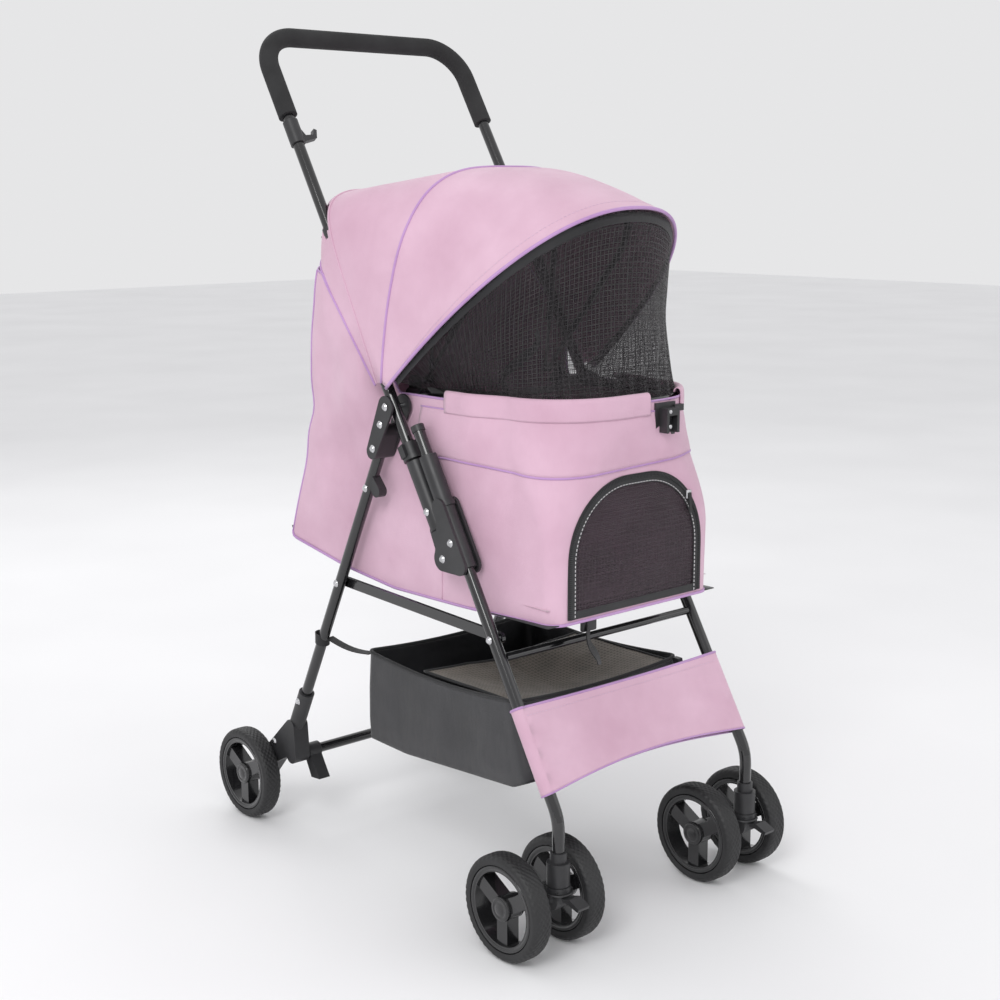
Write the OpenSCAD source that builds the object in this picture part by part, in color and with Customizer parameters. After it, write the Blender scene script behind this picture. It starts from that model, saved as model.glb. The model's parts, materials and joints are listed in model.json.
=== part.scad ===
// Folding four-wheel pet stroller.
// Origin: on the ground under the middle of the stroller. +Z up, -Y front, -X the stroller's right side.

/* [Overall] */
// Distance between the front and rear wheel centres
wheel_base = 580; // [480:5:700]
// Distance between the two side frames, tube centre to tube centre
frame_w = 334; // [300:2:420]
// Height of the middle of the push bar
bar_h = 1091; // [1000:1:1300]

/* [Tubes] */
// Outside diameter of the frame tubes
tube_d = 15; // [12:0.5:19]
// Wall of the frame tubes
tube_wall = 1.5; // [1:0.1:2]
// Outside diameter of the foam grip
grip_d = 25; // [22:0.5:32]
// Length of foam that runs down each side of the push bar
grip_drop = 72; // [60:2:160]
// Radius of the two bends of the push bar
bar_bend_r = 52; // [42:1:70]

/* [Wheels] */
// Diameter of each wheel
wheel_d = 130; // [110:1:150]
// Width of each tyre
tyre_w = 28; // [20:1:32]
// Gap between the two wheels of a front pair
pair_gap = 59; // [50:1:70]
// Distance of the front axle behind its swivel axis
caster_trail = 40; // [30:1:50]
// Diameter of the wheel axles
axle_d = 8; // [6:0.5:10]

/* [Bag] */
// Width of the bag
bag_w = 294; // [240:2:296]
// Thickness of the fabric walls
cloth_t = 3; // [2:0.5:5]
// Height of the lower front edge of the bag above the ground
bag_floor_h = 388; // [380:1:400]
// Height of the bag's top edge at the front
bag_rim_h = 640; // [600:1:660]
// Distance of the bag's front wall ahead of the origin
bag_front = 279; // [270:1:300]
// Width of the door in the front wall
door_w = 226; // [160:2:226]
// Height of the door in the front wall
door_h = 160; // [140:1:180]
// Thickness of the floor cushion
cushion_t = 14; // [8:1:30]

/* [Canopy] */
// Height of the middle of the canopy
canopy_top_h = 905; // [860:1:940]

/* [Basket] */
// Depth of the basket
basket_d = 122; // [80:1:124]

/* [Hidden] */

$fn = 48;
RIGHT = -1;
LEFT = 1;
run = 0.05;          // radial clearance of a turning fit
gap = 0.6;           // clearance between pieces that pass each other
eps = 1;

tube_r = tube_d / 2;
side_x = frame_w / 2;
wheel_r = wheel_d / 2;
tongue_root = 17.5;
tongue_len = 26;
// Keeps the middle of the whole length, swivel lock to rear tyre, on the origin.
hub_shift = (caster_trail + tongue_root + tongue_len - wheel_r) / 2;
front_hub_y = -wheel_base / 2 + hub_shift;
rear_hub_y = wheel_base / 2 + hub_shift;
swivel_y = front_hub_y - caster_trail;

// Front leg: a straight line in side view, bent to vertical above the swivel.
leg_lean = 30.4;
leg_bend_z = 188;
leg_bend_r = 60;
leg_knee_z = leg_bend_z - leg_bend_r * sin(leg_lean);
function leg_y(z) = swivel_y + leg_bend_r * (1 - cos(leg_lean)) + (z - leg_bend_z) * tan(leg_lean);
leg_top_z = 600;
cup_top_z = 122;
cup_bottom_z = 94;

// Handle: parallel tubes a set distance behind the front legs.
handle_lean = 31.2;
barrel_offset = 30;
lock_z = 505;
function handle_y(z) = leg_y(lock_z) + barrel_offset + (z - lock_z) * tan(handle_lean);
pivot_z = 452;
pivot = [handle_y(pivot_z), pivot_z];
head_z = 627;
head = [handle_y(head_z), head_z];

// Rear leg: from the head pivot to the rear bracket.
rear_lean = 26.6;
function rear_y(z) = head[0] + (head[1] - z) * tan(rear_lean);
bracket_top_z = 205;

// Link bars between the legs.
link_front_z = 366;
link_front = [leg_y(link_front_z), link_front_z];
link_rear_z = 378;
link_rear = [rear_y(link_rear_z), link_rear_z];
link_t = 5;
link_h = 13;
link_x = side_x - tube_r - gap - link_t;

// Pins and rivets.
pin_r = 3;
rivet_r = 5;
rivet_h = 2;

// ---- helpers -------------------------------------------------------------

// A round bar between two points.
module rod(a, b, r) {
    d = b - a;
    len = norm(d);
    translate(a)
        rotate([0, acos(d[2] / len), atan2(d[1], d[0])])
            cylinder(h = len, r = r);
}

// A cylinder along X, centred on x.
module x_disc(x, y, z, r, h) {
    translate([x, y, z]) rotate([0, 90, 0]) cylinder(h = h, r = r, center = true);
}

// A side-view outline, given as [y, z] points, extruded along X between x0 and x1.
module side_plate(x0, x1) {
    translate([x0, 0, 0]) rotate([90, 0, 90]) linear_extrude(height = x1 - x0) children();
}

// Two circles and the bar that joins them, in side view.
module strap_2d(a, b, ra, rb) {
    d = b - a;
    n = [-d[1], d[0]] / norm(d);
    translate(a) circle(r = ra);
    translate(b) circle(r = rb);
    polygon([a + n * ra, b + n * rb, b - n * rb, a - n * ra]);
}

// A low rivet head whose axis is X, pointing to side s from x.
module rivet_head(x, p, s) {
    translate([x, p[0], p[1]]) rotate([0, s * 90, 0]) cylinder(h = rivet_h, r1 = rivet_r, r2 = rivet_r * 0.6);
}

function on_line(p, lean, t) = [p[0] + t * sin(lean), p[1] + t * cos(lean)];
function down_line(p, lean, t) = [p[0] + t * sin(lean), p[1] - t * cos(lean)];

// ---- front legs ------------------------------------------------------------

module leg_path(s, r, more) {
    x = s * side_x;
    low = [x, swivel_y, cup_bottom_z + 12 - more];
    knee = [x, swivel_y, leg_knee_z];
    bend = [x, leg_y(leg_bend_z), leg_bend_z];
    top = [x, leg_y(leg_top_z + more), leg_top_z + more];
    rod(low, knee, r);
    translate(knee + [0, leg_bend_r, 0]) rotate([90, 0, -90])
        rotate_extrude(angle = leg_lean) translate([leg_bend_r, 0]) circle(r = r);
    rod(bend, top, r);
}

module front_leg(s) {
    color("black") difference() {
        leg_path(s, tube_r, 0);
        leg_path(s, tube_r - tube_wall, eps);
        x_disc(s * side_x, link_front[0], link_front[1], pin_r, tube_d * 2);
    }
}

module front_leg_right() { front_leg(RIGHT); }
module front_leg_left() { front_leg(LEFT); }

module leg_end_caps() {
    color("dimgray") for (s = [RIGHT, LEFT]) {
        low = [s * side_x, leg_y(leg_top_z + 0.1), leg_top_z + 0.1];
        high = [s * side_x, leg_y(leg_top_z + 7), leg_top_z + 7];
        rod(low, high, tube_r + 1);
    }
}

front_cross_z = 240;
module front_cross_tube() {
    half = side_x - tube_r - 0.1;
    color("black") difference() {
        rod([-half, leg_y(front_cross_z), front_cross_z], [half, leg_y(front_cross_z), front_cross_z], 6);
        rod([-half - eps, leg_y(front_cross_z), front_cross_z],
            [half + eps, leg_y(front_cross_z), front_cross_z], 6 - tube_wall);
    }
}

// ---- folding lock ----------------------------------------------------------

barrel_r = 11.2;
cheek_in = 9.2;
cheek_t = 4;
cheek_r = 15;
eye_r = 13;
sleeve_low_z = 444;
sleeve_top_z = 572;
barrel_low_z = 484;
barrel_top_z = 562;

module cheek_2d() {
    low = [leg_y(pivot_z - 4), pivot_z - 4];
    high = [leg_y(pivot_z + 62), pivot_z + 62];
    strap_2d(low, high, barrel_r, barrel_r);
    strap_2d(low, pivot, barrel_r, cheek_r);
    polygon([high, pivot + [cheek_r * 0.9, cheek_r * 0.45], pivot, low]);
}

module lock_housing(s) {
    x = s * side_x;
    color([0.13, 0.13, 0.14]) difference() {
        union() {
            rod([x, leg_y(sleeve_low_z), sleeve_low_z], [x, leg_y(sleeve_top_z), sleeve_top_z], barrel_r);
            rod([x, leg_y(lock_z + 8), lock_z + 8], [x, leg_y(lock_z + 14), lock_z + 14], barrel_r + 1.8);
            side_plate(x + cheek_in, x + cheek_in + cheek_t) cheek_2d();
            side_plate(x - cheek_in - cheek_t, x - cheek_in) cheek_2d();
        }
        rod([x, leg_y(sleeve_low_z - 40), sleeve_low_z - 40],
            [x, leg_y(sleeve_top_z + 40), sleeve_top_z + 40], tube_r);
        x_disc(x, pivot[0], pivot[1], pin_r, 60);
        // room for the barrel of the handle socket
        rod([x, handle_y(pivot_z + 12), pivot_z + 12],
            [x, handle_y(sleeve_top_z + 30), sleeve_top_z + 30], barrel_r + gap);
        // room for the turning eye
        x_disc(x, pivot[0], pivot[1], eye_r + gap, cheek_in * 2);
    }
}

module lock_housing_right() { lock_housing(RIGHT); }
module lock_housing_left() { lock_housing(LEFT); }

module handle_socket(s) {
    x = s * side_x;
    low = [handle_y(barrel_low_z), barrel_low_z];
    color([0.15, 0.15, 0.16]) difference() {
        union() {
            rod([x, low[0], low[1]], [x, handle_y(barrel_top_z), barrel_top_z], barrel_r);
            side_plate(x - cheek_in + gap, x + cheek_in - gap) strap_2d(pivot, low, eye_r, barrel_r - 2);
        }
        rod([x, handle_y(barrel_low_z + 8), barrel_low_z + 8],
            [x, handle_y(barrel_top_z + 20), barrel_top_z + 20], tube_r);
        x_disc(x, pivot[0], pivot[1], pin_r + run, 60);
    }
}

module handle_socket_right() { handle_socket(RIGHT); }
module handle_socket_left() { handle_socket(LEFT); }

slider_len = 22;
slider_z = barrel_top_z + 2;
module lock_slider(s) {
    x = s * side_x;
    base = [x, handle_y(slider_z), slider_z];
    color([0.1, 0.1, 0.11]) translate(base) rotate([-handle_lean, 0, 0]) difference() {
        union() {
            cylinder(h = slider_len, r = barrel_r + 0.6);
            cylinder(h = 5, r = barrel_r + 2.2);
            translate([s * (barrel_r + 1) - 3, -5, 4]) cube([6, 10, slider_len - 6]);
        }
        translate([0, 0, -eps]) cylinder(h = slider_len + 2 * eps, r = tube_r + run);
    }
}

module lock_slider_right() { lock_slider(RIGHT); }
module lock_slider_left() { mirror([1, 0, 0]) lock_slider(RIGHT); }

// ---- handle ----------------------------------------------------------------

// The handle lies in a leaning plane. This puts its local frame there:
// local Z runs up the tubes, local Y is square to the plane, origin at the head pivot.
module handle_plane() {
    translate([0, head[0], head[1]]) rotate([-handle_lean, 0, 0]) children();
}
bar_up = (bar_h - head_z) / cos(handle_lean);
tube_down = (head_z - barrel_low_z - 9) / cos(handle_lean);

module bar_path(r, up, more) {
    for (s = [RIGHT, LEFT]) {
        translate([s * side_x, 0, -tube_down - more]) cylinder(h = tube_down + bar_up - bar_bend_r + more, r = r);
        translate([s * (side_x - bar_bend_r), 0, bar_up - bar_bend_r])
            rotate([90, 0, 0]) rotate([0, 0, s > 0 ? 0 : 90])
                rotate_extrude(angle = 90) translate([bar_bend_r, 0]) circle(r = r);
    }
    translate([-side_x + bar_bend_r, 0, bar_up]) rotate([0, 90, 0]) cylinder(h = 2 * (side_x - bar_bend_r), r = r);
}

module handle_tube() {
    color([0.05, 0.05, 0.05]) handle_plane() difference() {
        bar_path(tube_r, bar_up, 0);
        bar_path(tube_r - tube_wall, bar_up, eps);
        x_disc(0, 0, 0, pin_r, frame_w + 60);
    }
}

module grip_path(r, more) {
    low = bar_up - bar_bend_r - grip_drop;
    for (s = [RIGHT, LEFT]) {
        translate([s * side_x, 0, low - more]) cylinder(h = grip_drop + more, r = r);
        translate([s * (side_x - bar_bend_r), 0, bar_up - bar_bend_r])
            rotate([90, 0, 0]) rotate([0, 0, s > 0 ? 0 : 90])
                rotate_extrude(angle = 90) translate([bar_bend_r, 0]) circle(r = r);
    }
    translate([-side_x + bar_bend_r, 0, bar_up]) rotate([0, 90, 0]) cylinder(h = 2 * (side_x - bar_bend_r), r = r);
}

module handle_grip() {
    color([0.08, 0.08, 0.08]) handle_plane() difference() {
        grip_path(grip_d / 2, 0);
        grip_path(tube_r, eps);
    }
}

hook_up = bar_up - bar_bend_r - grip_drop - 42;
module fold_hook() {
    color([0.1, 0.1, 0.1]) handle_plane() translate([-side_x, 0, hook_up]) difference() {
        union() {
            cylinder(h = 34, r = tube_r + 2.5);
            rotate([90, 0, 0]) translate([0, 0, -4]) linear_extrude(height = 8)
                polygon([[8, 2], [30, 8], [34, 20], [30, 22], [26, 13], [14, 12], [8, 24]]);
        }
        translate([0, 0, -eps]) cylinder(h = 40, r = tube_r);
    }
}

clip_up = (836 - head_z) / cos(handle_lean);
module canopy_clips() {
    color([0.1, 0.1, 0.1]) handle_plane() for (s = [RIGHT, LEFT])
        translate([s * side_x, 0, clip_up - 8]) difference() {
            union() {
                cylinder(h = 16, r = tube_r + 2);
                translate([-3, 6, 2]) cube([6, 12, 12]);
            }
            translate([0, 0, -eps]) cylinder(h = 20, r = tube_r);
        }
}

head_in = barrel_r + 1.2;
head_t = 3;
module handle_rivets() {
    half = head_in + head_t + gap;
    color("silver") for (s = [RIGHT, LEFT]) {
        x = s * side_x;
        x_disc(x, head[0], head[1], pin_r, 2 * half);
        rivet_head(x + s * half, head, s);
        b = [handle_y(lock_z), lock_z];
        rivet_head(x + s * (barrel_r + run), b, s);
    }
}

// ---- rear legs ---------------------------------------------------------------

leg_head_gap = 40;
module rear_leg(s) {
    x = s * side_x;
    top = down_line(head, rear_lean, leg_head_gap);
    color([0.05, 0.05, 0.05]) difference() {
        rod([x, rear_y(bracket_top_z - 30), bracket_top_z - 30], [x, top[0], top[1]], tube_r);
        rod([x, rear_y(bracket_top_z - 32), bracket_top_z - 32],
            [x, rear_y(top[1] + 5), top[1] + 5], tube_r - tube_wall);
    }
}

module rear_leg_right() { rear_leg(RIGHT); }
module rear_leg_left() { rear_leg(LEFT); }

module rear_leg_head(s) {
    x = s * side_x;
    low = down_line(head, rear_lean, 66);
    top = down_line(head, rear_lean, leg_head_gap - 12);
    color([0.13, 0.13, 0.14]) difference() {
        union() {
            side_plate(x + head_in, x + head_in + head_t) strap_2d(head, low, 14, 10);
            side_plate(x - head_in - head_t, x - head_in) strap_2d(head, low, 14, 10);
            side_plate(x - head_in - head_t / 2, x + head_in + head_t / 2)
                strap_2d(down_line(head, rear_lean, leg_head_gap - 2), low, 10, 10);
        }
        rod([x, down_line(head, rear_lean, leg_head_gap)[0], down_line(head, rear_lean, leg_head_gap)[1]],
            [x, rear_y(low[1] - 60), low[1] - 60], tube_r);
        x_disc(x, head[0], head[1], pin_r + run, 60);
    }
}

module rear_leg_head_right() { rear_leg_head(RIGHT); }
module rear_leg_head_left() { rear_leg_head(LEFT); }

cross = [215, 108];
module rear_cross_tube() {
    half = side_x - 12.1;
    color([0.05, 0.05, 0.05]) difference() {
        rod([-half, cross[0], cross[1]], [half, cross[0], cross[1]], 7);
        rod([-half - eps, cross[0], cross[1]], [half + eps, cross[0], cross[1]], 7 - tube_wall);
    }
}

bracket_half = 12;
bracket_collar_r = 11;
module rear_bracket(s) {
    x = s * side_x;
    top = [rear_y(bracket_top_z), bracket_top_z];
    mid = [rear_y(150), 150];
    hub = [rear_hub_y, wheel_r];
    color([0.14, 0.14, 0.15]) difference() {
        union() {
            rod([x, rear_y(bracket_top_z - 60), bracket_top_z - 60], [x, top[0], top[1]], bracket_collar_r);
            side_plate(x - bracket_half, x + bracket_half) {
                strap_2d(mid, hub, 10, 15);
                strap_2d(mid, cross, 10, 12);
                polygon([mid, hub, cross]);
            }
        }
        rod([x, rear_y(bracket_top_z - 30), bracket_top_z - 30],
            [x, rear_y(bracket_top_z + 20), bracket_top_z + 20], tube_r);
        x_disc(x, hub[0], hub[1], axle_d / 2, 60);
    }
}

module rear_bracket_right() { rear_bracket(RIGHT); }
module rear_bracket_left() { rear_bracket(LEFT); }

rear_wheel_x = side_x + bracket_half + 2.4 + tyre_w / 2;
module rear_axles() {
    color("silver") for (s = [RIGHT, LEFT]) {
        inner = s * (side_x - bracket_half);
        outer = s * (rear_wheel_x + tyre_w / 2 - 5);
        rod([min(inner, outer), rear_hub_y, wheel_r], [max(inner, outer), rear_hub_y, wheel_r], axle_d / 2);
    }
}

module rear_rivets() {
    color("silver") for (s = [RIGHT, LEFT]) {
        x = s * side_x;
        face = s * (head_in + head_t);
        rivet_head(x + face, down_line(head, rear_lean, 26), s);
        rivet_head(x + face, down_line(head, rear_lean, 62), s);
        rivet_head(x + s * (tube_r + run), down_line(head, rear_lean, 124), s);
        rivet_head(x + s * (tube_r + run), link_rear, s);
        rivet_head(x + s * (bracket_collar_r + run), [rear_y(192), 192], s);
        rivet_head(x + s * bracket_half, [257, 118], s);
    }
}

module storage_knobs() {
    p = down_line(head, rear_lean, 112);
    color([0.12, 0.12, 0.12]) for (s = [RIGHT, LEFT]) difference() {
        side_plate(s * side_x - 6, s * side_x + 6)
            strap_2d(p + [-4, 2], p + [-15, -12], 7, 8);
        rod([s * side_x, rear_y(400), 400], [s * side_x, rear_y(580), 580], tube_r);
    }
}

module brake_pedal(s) {
    x = s * (side_x - bracket_half - 12);
    color([0.16, 0.16, 0.17]) difference() {
        union() {
            x_disc(x, cross[0], cross[1], 11, 20);
            side_plate(x - 9, x + 9)
                polygon([cross + [-9.5, -2], cross + [4, -9.5], cross + [-10, -36], cross + [-30, -34], cross + [-26, -28]]);
        }
        x_disc(x, cross[0], cross[1], 7 + run, 30);
    }
}

module brake_pedal_right() { brake_pedal(RIGHT); }
module brake_pedal_left() { brake_pedal(LEFT); }

// ---- links -------------------------------------------------------------------

seat_cross_z = 345;
module link_bars() {
    color([0.06, 0.06, 0.06]) for (s = [RIGHT, LEFT]) {
        x0 = s > 0 ? link_x : -link_x - link_t;
        difference() {
            side_plate(x0, x0 + link_t) strap_2d(link_front, link_rear, link_h / 2, link_h / 2);
            x_disc(x0 + link_t / 2, link_front[0], link_front[1], pin_r + run, 30);
        }
    }
}

module seat_cross_tube() {
    half = side_x - tube_r - 0.1;
    color([0.06, 0.06, 0.06])
        rod([-half, leg_y(seat_cross_z), seat_cross_z], [half, leg_y(seat_cross_z), seat_cross_z], 5);
}

// ---- rail, fixed rivets, tray mount --------------------------------------------

// Plan of the bag that the rail runs in.
bag_front_half = bag_w / 2 - 11;
bag_taper_y = -110;
low_corner_r = 22;
rim_corner_r = 95;
band_h = 78;
rail_d = 12;
rail_inset = cloth_t + rail_d / 2 + 2;
rail_x = bag_front_half - rail_inset;
rail_z = bag_rim_h - 2;
rail_front_y = -bag_front + rail_inset;
rail_back_y = -5;
rail_bend_r = rim_corner_r - rail_inset;
module rail_path(r, more) {
    for (s = [RIGHT, LEFT]) {
        translate([s * rail_x, rail_front_y + rail_bend_r, rail_z])
            rotate([-90, 0, 0]) cylinder(h = rail_back_y - rail_front_y - rail_bend_r + more, r = r);
        translate([s * (rail_x - rail_bend_r), rail_front_y + rail_bend_r, rail_z])
            rotate([0, 180, 0]) rotate([0, 0, s > 0 ? 180 : -90])
                rotate_extrude(angle = 90) translate([rail_bend_r, 0]) circle(r = r);
    }
    translate([-rail_x + rail_bend_r, rail_front_y, rail_z])
        rotate([0, 90, 0]) cylinder(h = 2 * (rail_x - rail_bend_r), r = r);
}

module top_rail() {
    color([0.06, 0.06, 0.06]) difference() {
        rail_path(rail_d / 2, 0);
        rail_path(rail_d / 2 - tube_wall, eps);
    }
}

bow_pivot = [rail_back_y - 6, rail_z + 16];
bow_pin_r = 2;
module rail_hinges() {
    color([0.13, 0.13, 0.14]) for (s = [RIGHT, LEFT]) difference() {
        union() {
            side_plate(s * rail_x - 4, s * rail_x + 4) strap_2d([rail_back_y - 8, rail_z], bow_pivot, 9, 8);
            translate([s * rail_x, rail_back_y - 22, rail_z]) rotate([-90, 0, 0]) cylinder(h = 26, r = rail_d / 2 + 2);
        }
        rail_path(rail_d / 2, eps);
        x_disc(s * rail_x, bow_pivot[0], bow_pivot[1], bow_pin_r, 30);
    }
}

tray_x = 28;
module tray_mount() {
    color([0.05, 0.05, 0.06])
        translate([tray_x, -bag_front - 4, bag_rim_h - 42]) difference() {
            union() {
                cube([34, 3.5, 40]);
                translate([6, -13, 4]) cube([22, 14, 30]);
                translate([30, -3, 28]) cube([16, 6.5, 8]);
            }
            translate([10, -15, -eps]) cube([14, 11, 26]);
        }
}

module frame_rivets() {
    color("silver") for (s = [RIGHT, LEFT]) {
        x = s * side_x;
        inner = x - s * (tube_r + link_t + gap + 1.5);
        outer = x + s * (tube_r + 0.3);
        rod([min(inner, outer), link_front[0], link_front[1]], [max(inner, outer), link_front[0], link_front[1]], pin_r);
        rivet_head(outer, link_front, s);
        cheek = cheek_in + cheek_t;
        rod([x - cheek, pivot[0], pivot[1]], [x + cheek, pivot[0], pivot[1]], pin_r);
        rivet_head(x + s * cheek, pivot, s);
        rivet_head(x + s * cheek, [leg_y(pivot_z + 22) + 1, pivot_z + 22], s);
        pin_in = s * (middle_bow_half - bow_r - 2);
        pin_out = s * (rail_x + 4);
        rod([min(pin_in, pin_out), bow_pivot[0], bow_pivot[1]], [max(pin_in, pin_out), bow_pivot[0], bow_pivot[1]],
            bow_pin_r);
    }
}

// ---- bag -----------------------------------------------------------------------

// Plan of the bag: tapered to the front, corners of radius r, all moved in by t.
module plan_2d(r, t) {
    half = bag_front_half - t;
    front = -bag_front + t;
    c = r - t;
    polygon([
        [-bag_w / 2 + t, 300], [-bag_w / 2 + t, bag_taper_y], [-half, front + c], [-half + c, front],
        [half - c, front], [half, front + c], [bag_w / 2 - t, bag_taper_y], [bag_w / 2 - t, 300]]);
    for (s = [RIGHT, LEFT]) translate([s * (half - c), front + c]) circle(r = c);
}

// The plan as a solid between two heights.
module plan_slab(r, t, low, high) {
    translate([0, 0, low]) linear_extrude(height = high - low) plan_2d(r, t);
}

bag_back_top = [117, 794];
bag_back_low = [247, 430];
seam_low = [25, 648];
floor_z = bag_floor_h;
module bag_outer_2d() {
    polygon([
        [-bag_front, floor_z], [9, floor_z - 4], [113, floor_z + 6], [237, floor_z + 27],
        bag_back_low, bag_back_top, seam_low, [rail_back_y, bag_rim_h], [-bag_front, bag_rim_h]]);
}

module bag_inner_2d() {
    t = cloth_t;
    polygon([
        [-bag_front + t, floor_z + t], [9, floor_z - 4 + t], [113, floor_z + 6 + t], [235, floor_z + 27 + t],
        bag_back_low + [-t, 1], bag_back_top + [-t - 0.4, 0], bag_back_top + [-t - 0.4, 100],
        [-bag_front + t, bag_rim_h + 300]]);
}

door_low_z = floor_z + 6;
// Outline of the arched door in front view, grown by g, for the hole in the bag and the door itself.
module arch_2d(g) {
    half = door_w / 2 + g;
    r = half * 0.85;
    top = door_low_z + door_h + g;
    intersection() {
        union() {
            translate([-half, top - r - door_h]) square([2 * half, door_h]);
            translate([-half + r, top - r - 1]) square([2 * (half - r), r + 1]);
            for (s = [-1, 1]) translate([s * (half - r), top - r]) circle(r = r);
        }
        translate([-half, door_low_z - g]) square([2 * half, door_h + 2 * g]);
    }
}

module door_plate(y0, y1, g) {
    translate([0, y1, 0]) rotate([90, 0, 0]) linear_extrude(height = y1 - y0) arch_2d(g);
}

module bag_shell() {
    seam_z = bag_rim_h - band_h;
    color([0.84, 0.72, 0.80]) difference() {
        intersection() {
            side_plate(-bag_w / 2, bag_w / 2) bag_outer_2d();
            union() {
                plan_slab(low_corner_r, 0, 300, seam_z);
                plan_slab(rim_corner_r, 0, seam_z - eps, 900);
            }
        }
        intersection() {
            side_plate(-bag_w / 2 + cloth_t, bag_w / 2 - cloth_t) bag_inner_2d();
            union() {
                plan_slab(low_corner_r, cloth_t, 300, seam_z - cloth_t);
                plan_slab(rim_corner_r, cloth_t, seam_z - cloth_t - eps, 1000);
            }
        }
        door_plate(-bag_front - eps, -bag_front + cloth_t + eps, 1.6);
    }
}

board_t = 3;
board_z = floor_z + 10;
board_back = 105;
// A flat layer inside the bag, moved in by t, up to y = back.
module floor_slab(t, back, z, h) {
    translate([0, 0, z]) linear_extrude(height = h) intersection() {
        plan_2d(low_corner_r, t);
        translate([-bag_w, -bag_front]) square([2 * bag_w, bag_front + back]);
    }
}

module floor_board() {
    color([0.2, 0.2, 0.2]) floor_slab(cloth_t + 1, board_back + 1, board_z, board_t);
}

module floor_cushion() {
    color([0.75, 0.66, 0.72]) floor_slab(cloth_t + 3, board_back - 3, board_z + board_t, cushion_t);
}

hem_cord_r = 1.2;
module door_panel() {
    hem = [-bag_front + cloth_t / 2 - 0.1, door_low_z + 0.2];
    color([0.3, 0.25, 0.28]) {
        door_plate(-bag_front + 0.4, -bag_front + cloth_t - 0.6, -0.2);
        x_disc(0, hem[0], hem[1], hem_cord_r, door_w - 2);
    }
}

// ---- band and basket -------------------------------------------------------------

band_low_z = 200;
band_top_z = 290;
module front_band() {
    half = side_x + tube_r + 3;
    len = (band_top_z - band_low_z) / cos(leg_lean);
    color([0.85, 0.74, 0.81]) translate([0, leg_y(band_low_z), band_low_z]) rotate([-leg_lean, 0, 0]) difference() {
        translate([-half, -11, 0]) cube([2 * half, 22, len]);
        translate([-half + 2, -9, -eps]) cube([2 * half - 4, 18, len + 2 * eps]);
    }
}

basket_half = side_x - tube_r - gap * 2 - link_t - 7;
basket_top = 286;
basket_low = basket_top - basket_d;
basket_back = 75;
basket_front = -219;
module basket_outer_2d() {
    polygon([
        [basket_front, basket_top], [basket_front - 38, basket_low + 34], [basket_front + 2, basket_low + 14],
        [-7, basket_low - 2], [basket_back - 4, basket_low], [basket_back, basket_top]]);
}

module basket_inner_2d() {
    t = cloth_t;
    polygon([
        [basket_front + t, basket_top + eps], [basket_front - 38 + t + 1, basket_low + 34],
        [basket_front + 2 + t, basket_low + 14 + t],
        [-7, basket_low - 2 + t], [basket_back - 4 - t, basket_low + t], [basket_back - t, basket_top + eps]]);
}

module basket() {
    color([0.1, 0.1, 0.11]) difference() {
        side_plate(-basket_half, basket_half) basket_outer_2d();
        side_plate(-basket_half + cloth_t, basket_half - cloth_t) basket_inner_2d();
    }
}

module basket_hooks() {
    color([0.1, 0.1, 0.1]) for (s = [RIGHT, LEFT]) side_plate(s * (basket_half - 8) - 4, s * (basket_half - 8) + 4)
        polygon([[basket_front - 0.3, basket_top], [basket_front - 11, basket_top],
            [basket_front - 15, basket_top - 16], [basket_front - 8, basket_top - 16]]);
}

// ---- canopy ------------------------------------------------------------------------

canopy_half = side_x + tube_r + cloth_t + 3.5;
hinge_c = [rail_back_y - 6, rail_z + 2];
canopy_rise = canopy_top_h - hinge_c[1];
hem_rise = 16;
ARCHES = 14;
SEGMENTS = 20;
front_angle = 139;
back_angle = 50;
crown_angle = 103;
back_rise = 224;
// Height of an arch over the hinge line at angle a from the rear horizontal.
function arch_rise(a) =
    let (
        spread = a < crown_angle ? 122 : 82,
        top = canopy_rise * (1.06 - pow((a - crown_angle) / spread, 2)) / sin(a),
        rear = back_rise + (a - back_angle) * 6)
    min(top, rear);
// How square an arch is: round at the front, square at the back.
function arch_power(a) = 2.3 + 9 * pow((front_angle - a) / (front_angle - back_angle), 3);
function arch_point(a, q, inset) =
    let (
        n = arch_power(a),
        c = cos(q),
        s = sin(q),
        rise = arch_rise(a) - inset,
        half = canopy_half - inset,
        x = -half * sign(c) * pow(abs(c), 2 / n),
        h = max(hem_rise, rise * pow(s, 2 / n)))
    [x, hinge_c[0] + h * cos(a), hinge_c[1] + h * sin(a)];
function arch_angle(i) = front_angle + (back_angle - front_angle) * i / ARCHES;
function seg_angle(j) = 180 * j / SEGMENTS;
row = SEGMENTS + 1;
layer = (ARCHES + 1) * row;
function grid(inset) = [for (i = [0 : ARCHES], j = [0 : SEGMENTS]) arch_point(arch_angle(i), seg_angle(j), inset)];
function quads(base, flip) = [for (i = [0 : ARCHES - 1], j = [0 : SEGMENTS - 1])
    let (p = base + i * row + j, f = [p, p + 1, p + row + 1, p + row]) flip ? [f[3], f[2], f[1], f[0]] : f];
function edge_front() = [for (j = [0 : SEGMENTS - 1]) [j + 1, j, layer + j, layer + j + 1]];
function edge_back() = [for (j = [0 : SEGMENTS - 1])
    let (p = ARCHES * row + j) [p, p + 1, layer + p + 1, layer + p]];
function edge_low() = [for (i = [0 : ARCHES - 1])
    let (p = i * row) [p, p + row, layer + p + row, layer + p]];
function edge_high() = [for (i = [0 : ARCHES - 1])
    let (p = i * row + SEGMENTS) [p + row, p, layer + p, layer + p + row]];

module canopy() {
    slit = tube_r + 4;
    color([0.85, 0.73, 0.81]) difference() {
        polyhedron(
            points = concat(grid(0), grid(cloth_t)),
            faces = concat(quads(0, false), quads(layer, true), edge_front(), edge_back(), edge_low(), edge_high()),
            convexity = 6);
        for (s = [RIGHT, LEFT])
            handle_plane() translate([s * side_x - slit, -slit, clip_up - 46]) cube([2 * slit, slit + 20, 140]);
    }
}

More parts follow.
